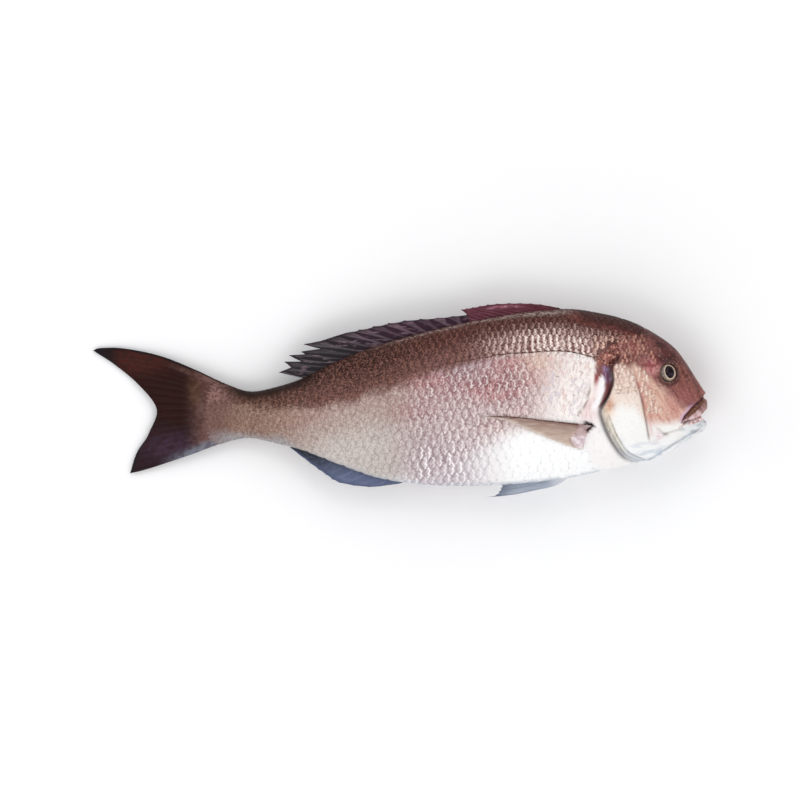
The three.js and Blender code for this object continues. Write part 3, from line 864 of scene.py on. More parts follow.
def makeScalePaint():
    p = Paint("fishScales", Coat_Roughness=0.14, Specular_IOR_Level=0.09)
    t, ahead, across, seed, crown = (p[name] for name in ("rim", "ahead", "across", "seed", "crown"))
    rear, tail, gold, shine = (p[name] for name in ("rear", "tail", "gold", "shine"))
    bright, calm, stem = (p[name] for name in ("bright", "calm", "stem"))
    patches, speckle, dots = p.noise(55.0), p.noise(460.0, 3.0, 0.65), p.noise(640.0, 2.0, 0.7)
    grain = p.noise(560.0, 2.0, 0.6, stretch=(1.2, 0.5, 0.5))
    colour = zoneColour(p, patches * 0.4 + seed * 0.3 + speckle * 0.3)
    back, belly = p["back"], p["belly"]
    flank, lit, fade = (1 - back) * (1 - belly), back * shine, 1 - stem * 0.7
    p.values.update(flank=flank, lit=lit, bellyFront=belly * (1 - rear))
    p.values.update(dark=p.layers(*scaleTones["dark"]), glow=p.layers(*scaleTones["glow"]))
    # painted shade: gap lies where the scale in front overlaps, under lies beneath this scale's free edge
    gap = 1 - (ahead + (speckle - 0.5) * (0.4 - bright * 0.3)).rise(0.02, 0.3 + lit * 0.1)
    under = 1 - (t + (speckle - 0.5) * 0.1).rise(0.02, 0.16)
    # the upright painted highlight on each scale, strongest on the front of the back
    place = (ahead - 0.42 - lit * 0.06 + (grain - 0.5) * (0.18 - bright * 0.13)).size()
    streak = 1 - place.rise(0.03, 0.17 + lit * 0.12)
    streak = streak * (1 - across * across + (speckle - 0.5) * 0.4).rise(0.04, 0.45)
    lucky = (seed * 0.7 + p.noise(48.0).rise(0.3, 0.7) * 0.6).rise(0.3, 1.0)
    streak = streak * (back * (shine * 1.3 + 0.3) + flank * (0.62 - rear * 0.3) + belly * 0.45 + bright * 0.5)
    streak = streak * (0.35 + lucky * 0.65) * (1 - calm * 0.5) * fade
    dash = (1 - (across + (speckle - 0.5) * 0.12).size().rise(0.07, 0.2)) * (0.35 + (1 - t.rise(0.4, 0.7)) * 0.65)
    few, most = 1 - calm * 0.8, 0.4 + lit * 0.3 + bright * 0.2 - rear * 0.24 - belly * 0.26
    glints = 0.32 - back * 0.1 + rear * back * (0.3 - tail * 0.12) + gold * back * 0.3
    p.values.update(
        gapDark=gap * most * (1 - calm * 0.92) * fade,
        underDark=under * (0.2 + bright * 0.1 - rear * 0.12) * few * fade,
        streak=streak,
        grainGlow=grain.rise(0.48, 0.7) * (0.22 + flank * 0.12 + lit * 0.3) * fade,
        grainDark=(1 - grain.rise(0.3, 0.52)) * (0.26 - belly * 0.18) * fade,
        dotDark=dots.rise(0.5, 0.64) * (0.4 + back * 0.2 - belly * 0.34 - bright * 0.15) * few,
        dotGlow=(1 - dots.rise(0.36, 0.46)) * glints * fade,
        brushed=p.noise(330.0, 3.0, 0.6, stretch=(1.5, 0.45, 0.5), turned=0.25).rise(0.5, 0.62),
        crownEdge=crown.rise(0.0, 0.6),
        stemEnd=stem * (back * 0.8 + 0.15),
        ridgeLine=p["ridge"] * (0.92 - stem * 0.6),
        patches=patches,
        speckle=speckle,
        dash=dash,
    )
    colour = paintShoulder(p, p.layers(colour, scaleTones["all"]), patches, grain)
    roughness = 0.32 + patches * 0.12 + gap * 0.1 - streak * 0.08
    p.feed(Base_Color=colour, Roughness=roughness, Coat_Weight=patches * (0.12 - back * 0.07))
    p.bump(speckle * 0.6 + (across * 26.0 + seed * 9.0).wave() * 0.2, 0.0001)
    return p


scalePaint = makeScalePaint()
for side, name in ((1, "scalesRight"), (-1, "scalesLeft")):
    scaleShells(name, scaleCentres(np.random.default_rng(scaleForm["seed"] + side)), side, scalePaint)

# the head, from the snout to the gill margin, with that margin folded in
headForm = {
    "columns": 190,
    "rows": 460,
    "foldColumns": 5,         # the last of them turn down behind the gill margin
    "foldDepth": 4.2,
    "coverRise": 2.2,
    "coverFront": 214.0,
    "coverFull": 186.0,
    "membraneWidth": 6.2,
    "eye": (218.4, 22.4, 6.9, 7.5),
    "nostrils": [(233.2, 20.2, 0.8, 1.12), (230.2, 22.6, 1.1, 1.54)],
    "throatFold": [[171, -27.0], [178, -38.0], [188, -45.5], [199, -48.5], [212, -43.0]],
    # a line, how much of it fades at its ends, and its furrows: place across it, half width and height
    "furrows": [
        (preopercleLine, 0.12, [(0, 0.75, -1.0), (2.4, 2.2, 0.55), (-1.8, 1.4, -0.35)]),
        (cheekLine, 0.2, [(0, 0.9, -0.5)]),
        (lipLine, 0.08, [(-1.5, 1.5, 0.7)]),
        (jawLine, 0.15, [(0, 0.9, -0.8)]),
    ],
    # x between the lips, by y
    "notch": [[-21.0, 251.0], [-17.4, 249.0], [-14.0, 244.9], [-12.6, 244.6], [-6.8, 249.0], [-4.0, 251.0]],
    "brownEdge": [
        [166, 29.0], [180, 29.0], [190, 28.0], [197, 24.0], [205, 17.0],
        [212, 10.0], [222, 2.0], [232, -6.0], [240, -9.0], [250, -8.0],
    ],
    "brownBlend": [[198, 7], [214, 14], [232, 9]],
    "whiteEdge": [[166, -8.0], [180, -3.0], [190, -5.0], [198, -16.0], [206, -19.0], [230, -17.5], [250, -12.0]],
    "spots": {                # x, y, half length, half height
        "mottle": (187, 42, 13, 9),
        "rosy": (231, -1, 9, 11),
        "mauve": (221, -1, 6.5, 14),
        "pink": (204, 27, 8.0, 8.5),
        "dimple": (215.6, -27.6, 2.4, 1.3),
        "cheekPink": (210.6, -29.6, 4.2, 5.5),
    },
    "peach": (169.8, -4.0, 4.4, 8.5),
    # a painted shadow above the eye
    "crown": (216, 35.5, 10.5, 7.5),
    "chinTip": (248.0, -17.4, 2.4, 1.8),
}
headTones = {
    "flesh": ([(224, 186, 168), (196, 142, 130), "streaks", 0.42, 0.7], [
        ("mauve", 0.55, (190, 126, 122)),
        ("cover", 1, [[(234, 208, 196), (182, 142, 130), "coverGrain", 0.42, 0.58], (242, 228, 218), "coverLow"]),
    ]),
    "brow": ([(134, 82, 79), (90, 50, 50), "patches", 0.35, 0.65], [
        ("snout", 1, [[(144, 90, 80), (108, 62, 58), "streaks", 0.4, 0.62], (156, 94, 94), "snoutRose"]),
        ("crown crownRear", 1, [(84, 44, 44), (42, 22, 22), "patches", 0.38, 0.62]),
    ]),
    "base": (["flesh", "brow", "brown"], [
        ("mottle mottled", 0.75, [(214, 164, 148), (152, 90, 82), "blots", 0.5, 0.6]),
        ("pink", 0.8, [(226, 160, 156), (158, 84, 88), "blots", 0.42, 0.6]),
        ("pale", 1, (246, 245, 243)),
    ]),
    "all": [
        # pink along the cheek furrow, a painted shadow line, and pink along the strip behind the preopercle
        ("blush", 0.65, (206, 140, 134)),
        ("throat", 0.6, [(244, 247, 251), (188, 200, 216), "veil"]),
        ("jaw", 0.85, [(228, 230, 232), (180, 188, 196), "jawStreaks", 0.45, 0.65]),
        ("cheekPink veil", 0.7, (228, 194, 202)),
        # grey-blue painted shade along the underside of the jaw, and a dark spot at its tip
        ("chin", 0.6, [(160, 174, 190), (120, 126, 140), "patches", 0.45, 0.6]),
        ("dimple", 0.7, (140, 128, 124)),
        ("membrane", 0.9, [
            [(224, 217, 204), (172, 164, 152), "membraneStreaks", 0.42, 0.6], (202, 208, 214), "deep",
        ]),
        # a painted cream highlight along the fold of the gill membrane
        ("fold", 0.75, (246, 240, 222)),
        ("pleat membrane", 0.75, (116, 106, 100)),
        # painted shade along the edge of the gill margin
        ("brim", 0.55, (146, 134, 126)),
        ("peach", 0.85, [(238, 194, 164), (186, 126, 102), "patches", 0.42, 0.6]),
        # painted shade in the furrows of the preopercle and the jaw
        ("groove", 0.8, (116, 80, 74)),
        ("lip", 1, [
            [(150, 114, 104), (112, 78, 72), "streaks", 0.42, 0.6],
            [(232, 206, 210), (184, 140, 140), "streaks", 0.42, 0.6], "lipLow",
        ]),
        ("lipEdge", 0.85, (206, 170, 200)),
        # painted shade in the deep lip groove
        ("lipGroove", 1, [(92, 44, 36), (74, 40, 62), "groovePatches", 0.45, 0.6]),
        ("stripe lipGroove", 0.8, (138, 100, 74)),
        # painted shadow in the open gape
        ("mouth", 1, (84, 50, 50)),
        ("gum", 1, [(240, 214, 210), (160, 116, 116), "gumSpots", 0.45, 0.62]),
        ("lid", 1, [(120, 96, 88), (82, 52, 48), "patches", 0.4, 0.6]),
        ("lidShade", 0.8, (58, 32, 30)),
        # painted shade in the gill slit and in the fold tucked under the margin
        ("slit", 1, (78, 46, 48)),
        ("darkDots", 1, (96, 60, 58)),
        ("paleDots", 1, (226, 186, 176)),
    ],
}


# 1 at the rim of the eye socket
def eyeDistance(x, y):
    ex, ey, width, height = headForm["eye"]
    return np.hypot((x - ex) / width, (y - ey) / height)


def headRelief(x, y, turn):
    f = headForm
    margin, _ = lineField(gillFlank, x, y)
    height = f["coverRise"] * smooth(f["coverFront"], f["coverFull"], x) * smooth(48, 36, y) * smooth(-58, -46, y)
    height *= np.abs(np.cos(2 * np.pi * turn)) ** 0.5
    lower = smooth(3, -8, y)
    strip = smooth(f["membraneWidth"] + 0.7, f["membraneWidth"] - 0.9, margin) * lower
    height += (0.28 * np.cos(margin * 2 * np.pi / 3.1) - 0.7 - 0.6 * smooth(4.0, 0.0, margin)) * strip
    height += 0.3 * hump(f["membraneWidth"] + 1.6, 1.1, margin) * lower
    height -= 0.9 * smooth(1.6, 0.0, margin) * (1 - lower)
    for line, fade, furrows in f["furrows"]:
        across, at = lineField(line, x, y)
        for place, width, rise in furrows:
            height += rise * hump(place, width, across) * ends(at, fade)
    lip, at = lineField(lipLine, x, y)
    height -= 2.8 * smooth(0.1, 1.3, lip) * smooth(6.2, 2.6, lip) * ends(at, 0.08)
    height += 0.3 * np.cos(lip * 2 * np.pi / 1.7) * hump(4.4, 2.0, lip) * ends(at, 0.1)
    gape, at = lineField(gapeLine, x, y)
    height -= 3.2 * hump(0, 0.75, gape) * smooth(1.0, 0.9, at)
    height += (0.8 * hump(2.0, 1.2, gape) + 0.4 * hump(-1.9, 1.0, gape)) * smooth(1.0, 0.85, at)
    fold, _ = lineField(f["throatFold"], x, y)
    height += 0.45 * np.cos(fold * 2 * np.pi / 4.2) * hump(0, 6.0, fold) * smooth(-26, -38, y)
    eye = eyeDistance(x, y)
    height += 0.9 * hump(1.16, 0.12, eye) - 0.35 * hump(1.5, 0.14, eye) - 5.0 * smooth(1.04, 0.84, eye)
    for nx, ny, width, tall in f["nostrils"]:
        hole = np.hypot((x - nx) / width, (y - ny) / tall)
        height += 0.35 * hump(1.5, 0.45, hole) - 1.3 * smooth(1.1, 0.5, hole)
    return height


def headMarks(x, y, span=None):
    f = headForm
    margin, _ = lineField(gillFlank, x, y)
    (lip, at), (gape, gapeAt), (pre, preAt), (cheek, cheekAt), (jaw, jawAt), (chin, chinAt) = (
        lineField(line, x, y) for line in (lipLine, gapeLine, preopercleLine, cheekLine, jawLine, chinLine)
    )
    eye = eyeDistance(x, y)
    lower = smooth(3, -6, y)
    arch = 5.4 * np.sin(np.pi * np.clip(at, 0, 1)) ** 0.6
    # painted shade along the furrows of the preopercle and the jaw
    groove = hump(0, 0.85, pre) * ends(preAt, 0.1) * smooth(24, 6, y, 0.4)
    groove += 0.35 * hump(0, 1.0, jaw) * ends(jawAt, 0.15)
    # blush: a painted shadow line in the cheek furrow, and pink along the strip behind the preopercle
    blush = hump(0, 2.0, cheek) * ends(cheekAt, 0.15)
    blush += 0.7 * hump(2.6, 1.6, pre) * ends(preAt, 0.2) * smooth(14, 2, y)
    # crown: darker towards the ridge of the head, and its spot above the eye is a painted shadow
    crown = smooth(12, 4, belowRidge(x, y)) * smooth(244, 232, x) + 1.3 * spot(x, y, f["crown"])
    marks = {name: spot(x, y, place) for name, place in f["spots"].items()}
    marks.update({
        "brown": smooth(-1, 1, (y - lookUp(f["brownEdge"], x)) / lookUp(f["brownBlend"], x)),
        "pale": smooth(9, -9, y - lookUp(f["whiteEdge"], x)),
        "cover": smooth(0.5, -1.5, pre) * smooth(36, 30, y),
        "low": smooth(27, -2, y),
        "snout": smooth(214, 230, x) * smooth(-12, 2, y),
        "crown": np.clip(crown, 0, 1),
        "lipEdge": hump(-0.9, 1.4, lip) * smooth(0.3, 0.7, at) * smooth(1.0, 0.9, at),
        # lipGroove: painted shade in the deep groove along the lip
        "lipGroove": smooth(0.2, 0.9, lip) * smooth(0.6, -0.6, lip - arch),
        "lip": smooth(1.4, 2.6, lip) * smooth(224, 230, x) * smooth(1.0, -0.5, gape),
        # painted shadow in the gape between the jaws
        "mouth": hump(0, 0.7, gape) * smooth(1.0, 0.92, gapeAt) * (0.2 + 0.6 * smooth(0.6, 0.85, gapeAt)),
        "lipLow": smooth(-4, -14, y),
        "stripe": hump(3.9, 0.9, lip) * ends(at, 0.12),
        "gum": hump(1.6, 1.1, gape) * smooth(1.0, 0.8, gapeAt) * smooth(232, 236, x),
        "jaw": smooth(0.5, 3.0, gape) * smooth(222, 238, x),
        "groove": np.clip(groove, 0, 1),
        "blush": np.clip(blush, 0, 1),
        "membrane": smooth(7.2, 5.2, margin) * lower,
        # fold: where the painted highlight on the membrane fold lies
        "fold": hump(3.6, 0.75, margin) * smooth(-2, -8, y) * smooth(-46, -36, y),
        "pleat": np.clip(hump(2.3, 0.5, margin) + 0.7 * hump(5.3, 0.4, margin), 0, 1) * smooth(-6, -14, y),
        "peach": spot(x, y, f["peach"]) * smooth(0.4, 1.6, margin),
        # painted shade at the gill margin, over the slit
        "brim": hump(0.9, 0.8, margin) * smooth(2, -6, y) * smooth(-50, -38, y),
        "deep": smooth(-24, -44, y),
        # slit: painted shade in the gill opening
        "slit": smooth(0.6, -0.3, margin) * smooth(42, 34, y) * smooth(-10, 2, y, 0.4),
        "lid": smooth(1.3, 1.0, eye),
        "lidShade": hump(1.32, 0.2, eye) * smooth(6, -8, y - f["eye"][1]),
        "throat": smooth(-26, -42, y),
        # chin: painted shade along the underside of the jaw, and a dark spot at its tip
        "chin": np.clip(hump(0, 1.1, chin) * ends(chinAt, 0.15) + spot(x, y, f["chinTip"]), 0, 1),
    })
    return marks


# the colours that the head and its scales share
def headColour(p, patches):
    streaks = p.noise(240.0, 3.0, 0.6, stretch=(1.5, 0.32, 0.6), turned=-0.5)
    blots = p.noise(150.0, 3.0, 0.6)
    p.values.update(
        streaks=streaks, patches=patches, blots=blots,
        brown=(p["brown"] + (patches - 0.5) * 0.5 + (streaks - 0.5) * 0.5).rise(0.15, 0.85),
        pale=(p["pale"] + (patches - 0.5) * 0.5).rise(0.1, 0.9),
        coverGrain=patches * 0.5 + streaks * 0.5,
        coverLow=p["low"] * 0.9 + (patches - 0.5) * 0.3,
        snoutRose=p["rosy"] * 0.8,
        crownRear=1 - p["snout"] * 0.5,
        mottled=blots.rise(0.42, 0.5),
    )
    p.values.update(flesh=p.layers(*headTones["flesh"]), brow=p.layers(*headTones["brow"]))
    return p.layers(*headTones["base"])


def makeHeadPaint():
    p = Paint("headSkin", Coat_Roughness=0.14, Specular_IOR_Level=0.1)
    patches, dots = p.noise(70.0), p.noise(560.0, 2.0, 0.7)
    colour = headColour(p, patches)
    p.values.update(
        veil=p.noise(120.0, stretch=(0.5, 1.6, 1)).rise(0.42, 0.62),
        jawStreaks=p.noise(210.0, stretch=(0.4, 1.4, 1)),
        membraneStreaks=p.noise(260.0, stretch=(1.4, 0.5, 1)),
        groovePatches=p.noise(150.0),
        gumSpots=p.noise(420.0),
        darkDots=dots.rise(0.5, 0.7) * (0.3 - p["pale"] * 0.22),
        paleDots=(1 - dots.rise(0.3, 0.42)) * (0.3 - p["pale"] * 0.2),
    )
    colour = p.layers(colour, headTones["all"])
    p.feed(Base_Color=colour, Roughness=0.3 + patches * 0.18, Coat_Weight=p.noise(40.0) * 0.1)
    p.bump(dots * 0.5 + p["streaks"] * 0.8, 0.00016)
    return p


def makeHead():
    f = headForm
    mesh, u, v = gridMesh("head", f["columns"], f["rows"])
    turn, mirrored = turns(v)
    foldAt = 1 - f["foldColumns"] / f["columns"]
    outer = np.clip(u / foldAt, 0, 1)
    tucked = np.clip((u - foldAt) / (1 - foldAt), 0, 1)
    along = marginAlong(mirrored) * (0.5 * outer + 0.5 * outer ** 1.6)
    x, y, _ = skin(along, mirrored).T
    height = headRelief(x, y, mirrored) - f["foldDepth"] * tucked ** 0.8
    height -= trunkForm["underScales"] * scaled(x, y) * smooth(30, 36, y)
    along = along - 0.012 * smooth(0.3, 1.0, tucked)
    points = onSkin(along, turn, height)
    points[:, 0] = np.minimum(points[:, 0], lookUp(f["notch"], points[:, 1]))
    points[u < 1e-6] = [249.6, -7.0, bodyForm["trunkMiddle"]]
    marks = headMarks(x, y)
    # the fold tucked under the margin gets the painted shade of the slit
    marks["slit"] = np.maximum(marks["slit"], smooth(0.1, 0.6, tucked))
    finishPiece("head", mesh, points, marks, makeHeadPaint())


makeHead()

# small scales in two fields on the head: the upper gill cover and the cheek before it
cheekForm = {
    "fields": {
        "gillCoverScales": {
            "spans": (-46, 18), "x": (168.0, 212.0), "length": 3.5, "row": 4.1, "lean": 0.0, "fadeAt": -1.0,
        },
        "cheekScales": {
            "spans": (-60, 2), "x": (190.0, 226.0), "length": 3.3, "row": 4.3, "lean": 0.3, "fadeAt": -17.0,
        },
    },
    "frontLine": [[195.0, 36.0], [199.0, 26.0], [203.5, 14.0], [209.5, 2.0], [215.5, -10.0], [217.0, -24.0]],
    "scatter": 0.6,
    "slimmer": 0.8,
    "seed": 5,
}
# each by how brown the skin under it is
cheekTones = [
    ("paleFlecks", 1, (240, 220, 206)),
    # painted shade where each small scale runs under the one in front
    ("gapDark", 1, [(158, 114, 98), (84, 46, 42), "brown"]),
    # painted highlight: a streak on each small scale
    ("streak", 1, [(253, 245, 236), (222, 168, 146), "brown"]),
    ("spots", 1, [(176, 134, 112), (120, 62, 58), "brown"]),
    ("darkDots", 1, [(170, 124, 112), (96, 52, 48), "brown"]),
]


def inField(name, x, y):
    pre, _ = lineField(preopercleLine, x, y)
    if name == "cheekScales":
        front, _ = lineField(cheekForm["frontLine"], x, y)
        return (pre > 1.6) & (front < -1.0) & (y > -20.0) & (y < 31.0)
    margin, _ = lineField(gillFlank, x, y)
    cover = (pre < -2.0) & (y > -3.0) & (y < 32.0)
    temple = (y >= 32.0) & (x < 210 - 0.6 * (y - 32)) & (y < 55.0)
    return (margin > 2.4) & (cover | temple)


def fieldCentres(name, random):
    f = cheekForm["fields"][name]
    found = []
    for row in range(int(f["spans"][0] / f["row"]), int(f["spans"][1] / f["row"]) + 1):
        span = row * f["row"]
        x = np.arange(f["x"][0] - 20, f["x"][1] + 20, f["length"])
        x = x + 0.5 * f["length"] * (row % 2) - f["lean"] * span
        found.append(np.stack([x, 0 * x + span, 0 * x + 1, 0 * x + f["length"], 0 * x + f["row"]], -1))
    centres = np.vstack(found)
    centres = centres[(centres[:, 0] < 236) & (centres[:, 0] > 160)]
    centres[:, :2] += random.normal(size=(len(centres), 2)) * cheekForm["scatter"]
    along = alongAt(centres[:, 0])
    x, y, _ = skin(along, turnAt(along, centres[:, 1])).T
    return centres[inField(name, x, y)]


def makeCheekPaint():
    p = Paint("cheekScales", Coat_Roughness=0.16, Specular_IOR_Level=0.12)
    ahead, across, seed = p["ahead"], p["across"], p["seed"]
    patches, speckle = p.noise(70.0), p.noise(440.0, 3.0, 0.65)
    dots, blots = p.noise(620.0, 2.0, 0.7), p.noise(190.0, 3.0, 0.6)
    colour = headColour(p, patches)
    brown, pale = p["brown"], p["pale"]
    # painted shade in the gap before the scale in front
    gap = 1 - (ahead + (speckle - 0.5) * 0.6).rise(0.05, 0.45)
    lucky = (seed * 0.5 + blots.rise(0.35, 0.65) * 0.7).rise(0.45, 0.9)
    # the painted highlight on each small scale
    streak = 1 - (ahead - 0.55 + (speckle - 0.5) * 0.7).size().rise(0.06, 0.34)
    streak = streak * (1 - across * across + (blots - 0.5) * 0.8).rise(0.2, 0.8)
    p.values.update(
        paleFlecks=(1 - brown) * (0.1 + speckle.rise(0.4, 0.6) * 0.4),
        gapDark=gap * (0.55 - pale * 0.45) * (0.25 + seed * 0.75),
        streak=streak * lucky * (0.85 - p["crown"] * 0.7),
        spots=blots.rise(0.52, 0.64) * (0.4 - pale * 0.36),
        darkDots=dots.rise(0.5, 0.68) * (0.45 - pale * 0.33),
    )
    p.feed(Base_Color=p.layers(colour, cheekTones), Roughness=0.32 + patches * 0.15, Coat_Weight=patches * 0.12)
    p.bump(dots, 0.0001)
    return p


cheekPaint = makeCheekPaint()
for side, ending in ((1, "Right"), (-1, "Left")):
    for name, field in cheekForm["fields"].items():
        centres = fieldCentres(name, np.random.default_rng(cheekForm["seed"] + side))
        scaleShells(
            name + ending, centres, side, cheekPaint, headMarks, headRelief, cheekForm["slimmer"], field["fadeAt"],
        )

# the eyes: a flattened ball with a domed pupil inside a raised ring
eyeForm = {
    "x": 217.5,
    "y": 21.8,
    "rise": 16.6,
    "radius": 7.6,
    "depth": 5.2,
    "forward": 24.0,          # degrees it looks towards the snout
    "up": 20.0,
    "narrow": 1.2,            # the pupil and its ring are taller than wide
    "pupil": 0.62,
}


def makeEyePaint():
    p = Paint("wetEye", Coat_Weight=0.12, Coat_Roughness=0.04, Specular_IOR_Level=0.12)
    radial, around, cloudy = p["radial"], p["around"], p.noise(420.0)
    iris = p.mix((188, 168, 148), (120, 100, 90), p.noise(700.0, 4.0).rise(0.35, 0.7))
    iris = p.mix(iris, (138, 124, 116), around.rise(0.2, 0.8) * radial.rise(0.7, 0.8))
    # the pupil, with a painted violet sheen in patches
    pupil = p.mix((20, 8, 12), (58, 44, 84), cloudy.rise(0.5, 0.75) * 0.5)
    colour = p.mix(pupil, iris, (radial + (cloudy - 0.5) * 0.04).rise(0.6, 0.66))
    colour = p.mix(colour, (212, 192, 168), (1 - (radial - 0.71).size().rise(0.01, 0.07)) * 0.85)
    white = p.mix((146, 132, 124), (106, 84, 78), cloudy.rise(0.4, 0.6))
    rim = p.mix((56, 34, 32), white, around.rise(0.25, 0.8))
    p.feed(Base_Color=p.mix(colour, rim, radial.rise(0.85, 0.95)), Roughness=0.16 + cloudy * 0.1)
    p.bump(cloudy, 0.0001)
    return p


def makeEye(name, side, node, paint):
    f = eyeForm
    mesh, ball = rawMesh(name, bmesh.ops.create_uvsphere, u_segments=72, v_segments=48, radius=1.0)
    radial = np.hypot(ball[:, 0] * f["narrow"], ball[:, 1] * 0.9)
    outer = ball[:, 2] * side > 0
    dome = 0.3 * smooth(f["pupil"], 0.4, radial) - 0.35 * hump(f["pupil"], 0.08, radial)
    local = ball * [f["radius"], f["radius"], f["depth"]]
    local[:, 2] += side * outer * dome
    turn = Euler((-side * math.radians(f["up"]), side * math.radians(f["forward"]), 0)).to_matrix()
    points = local @ np.array(turn).T + [f["x"], f["y"], bodyForm["trunkMiddle"] + side * f["rise"]]
    marks = {"radial": np.where(outer, radial, 1.0), "around": smooth(0.2, -0.9, ball[:, 0])}
    finishPiece(name, mesh, points, marks, paint, node)


eyePaint = makeEyePaint()
makeEye("eyeRight", 1, "eye_right", eyePaint)
makeEye("eyeLeft", -1, "eye_left", eyePaint)

# the fins: a thin body over rays that rise as ridges and split towards the margin
finDefaults = {
    "thickness": (3.2, 1.1),  # at the root and at the margin
    "membrane": 0.65,         # of that thickness, between the rays
    "notch": 0.03,            # how deep the margin is cut between the rays
    "point": 0.16,
    "ragged": 0.012,
    "wave": 0.3,
    "waves": 2,
    "split": 0.2,
    "splitFrom": 0.35,
    "rayWidth": (0.16, 0.1),
    "slant": 0.0,
    "sag": 0,
    "normal": (0.0, 0.0, 1.0),
}


def inMiddle(points):
    points = np.array(points, float)
    return np.column_stack([points, middleHeight(points[:, 0])])


def finPoint(fin, across, out):
    margin = spline(fin["margin"], across)
    if "teeth" in fin:
        at, x, y = np.array(fin["teeth"], float).T
        cut = inMiddle(np.column_stack([np.interp(across, at, x), np.interp(across, at, y)])) - [0, 0, fin["sag"]]
        margin = np.where((across > at[0])[:, None], cut, margin)
    out = out[:, None]
    point = blend(spline(fin["root"], across), margin, out)
    for ray, end, weight in ((fin["first"], 0.0, 1 - across), (fin["last"], 1.0, across)):
        straight = blend(spline(fin["root"], end), spline(fin["margin"], end), out)
        point = point + (spline(ray, out[:, 0]) - straight) * weight[:, None]
    return point


# how high the nearest ray stands here, 0 to 1
def rayRidge(fin, across, out):
    phase = across * (fin["rays"] - 1) - fin["slant"] * out
    off = np.abs(phase - np.round(phase))
    split = fin["split"] * smooth(fin["splitFrom"], 1.0, out)
    again = 0.45 * fin["split"] * smooth(0.6, 1.0, out)
    return hump(0, blend(*fin["rayWidth"], out), np.abs(np.abs(off - split) - again))


# form has the fin's numbers and four curves, which place turns into points of the fish
def makeFin(name, form, paint, place=inMiddle, marksOf=None):
    fin = {**finDefaults, **form, **{key: place(form[key]) for key in ("root", "margin", "first", "last")}}
    fin["margin"][:, 2] -= fin["sag"]
    columns = (fin["rays"] - 1) * fin["perRay"]
    mesh, across, out = gridMesh(name, columns, fin["rows"], 2)
    below = np.arange(len(across)) >= len(across) // 2
    ridge = rayRidge(fin, across, out)
    phase = across * (fin["rays"] - 1)
    tip = np.exp(-np.abs(phase - np.round(phase)) / fin["point"])
    notch = fin["notch"] * (smooth(0.5, 0.44, across) if "teeth" in fin else 1)
    random = np.random.default_rng(fin["seed"])
    ragged = random.random(columns + 1)[np.round(across * columns).astype(int)] * fin["ragged"]
    reach = np.clip(out * (1 - (notch * (1 - tip) + ragged) * out ** 3), 0, 1)
    point = finPoint(fin, across, reach)
    marks = marksOf(point[:, 0], point[:, 1]) if marksOf else {}
    edge = np.minimum.reduce([across / 0.02, (1 - across) / 0.02, out / 0.02, (1 - out) / 0.05])
    rim = np.sqrt(1 - (1 - np.clip(edge, 0, 1)) ** 2)
    half = 0.5 * blend(*fin["thickness"], reach ** 0.8) * blend(fin["membrane"], 1, ridge) * rim
    half = half + marks.pop("relief", 0.0) * rim
    wave = fin["wave"] * np.sin(across * fin["waves"] * 2 * np.pi + 1.3) * reach ** 2
    point = point + unit(np.array(fin["normal"])) * (np.where(below, -half, half) + wave)[:, None]
    point[:, 2] = np.maximum(point[:, 2], 0.02)
    marks.update({"ray": ridge, "out": reach, "across": across, "seed": np.round(phase) * 0.37 % 1})
    finishPiece(name, mesh, point, marks, paint, weld=2e-6)


def makeFinPaint(name, look):
    p = Paint(name, Coat_Roughness=0.2, Specular_IOR_Level=0.05)
    out, across, ridge, seed = p["out"], p["across"], p["ray"], p["seed"]
    patches, spots = p.noise(70.0), p.noise(240.0).rise(0.4, 0.62)
    fine = p.noise(420.0, 3.0, stretch=look["grainWay"])
    late = (across + (patches - 0.5) * 0.25).rise(*look["lateAt"])
    membrane, ray = (p.mix(*look[key], late) for key in ("membrane", "ray"))
    lit = ridge.rise(0.2, 0.9) * (0.25 + seed * 0.4) * (0.4 + fine.rise(0.35, 0.6) * 0.6)
    colour = p.mix(membrane, ray, lit * look["rayShow"])
    if "lead" in look:
        colour = p.mix(colour, look["lead"], 1 - (across + (fine - 0.5) * 0.05).rise(*look["leadAt"]))
    colour = p.mix(colour, look["root"], (1 - (out + (patches - 0.5) * 0.15).rise(*look["rootAt"])) * 0.9)
    colour = p.mix(colour, look["edge"], fine.rise(0.45, 0.7) * look["grain"])
    colour = p.mix(colour, look["ray"][0], (1 - fine.rise(0.32, 0.46)) * look["grain"])
    for mark, one, other, strength in look.get("tints", []):
        share = (p[mark] + (fine - 0.5) * 0.4 * p[mark]).rise(0.02, 0.98)
        colour = p.mix(colour, p.mix(one, other, spots), share * strength)
    rim = (out + (fine - 0.5) * 0.06 + (patches - 0.5) * 0.12).rise(*look["edgeAt"])
    colour = p.mix(colour, look["edge"], rim * 0.9)
    p.feed(Base_Color=colour, Roughness=0.28 + patches * 0.12, Coat_Weight=patches * 0.04)
    p.bump(ridge * 0.3 + (out * 240.0 + seed * 7.0).wave() * ridge * 0.1 + fine * 0.3, 0.00014)
    return p


# lines of the plan that the colours of the fins follow
finLines = {
    "tailTop": [[-130, 8.6], [-141, 12.5], [-165.4, 24.4], [-194.7, 36], [-224, 42.1], [-243.5, 42.5], [-250, 40.4]],
    "tailBottom": [[-119, -30.5], [-141, -33], [-165.4, -42.6], [-194.7, -52.6], [-219.9, -59.6]],
    "spineRoot": [[136, 71.2], [104, 69.5], [78, 66.5], [56, 62]],
    "spineSheen": [[104, 75.6], [92, 76.6], [80, 76.0], [66, 73.4]],
    "pectoralCrease": [[143.5, -21.5], [140.8, -25.0], [137.4, -29.5], [138.6, -34.0], [142.0, -38.6], [147.6, -41.0]],
}


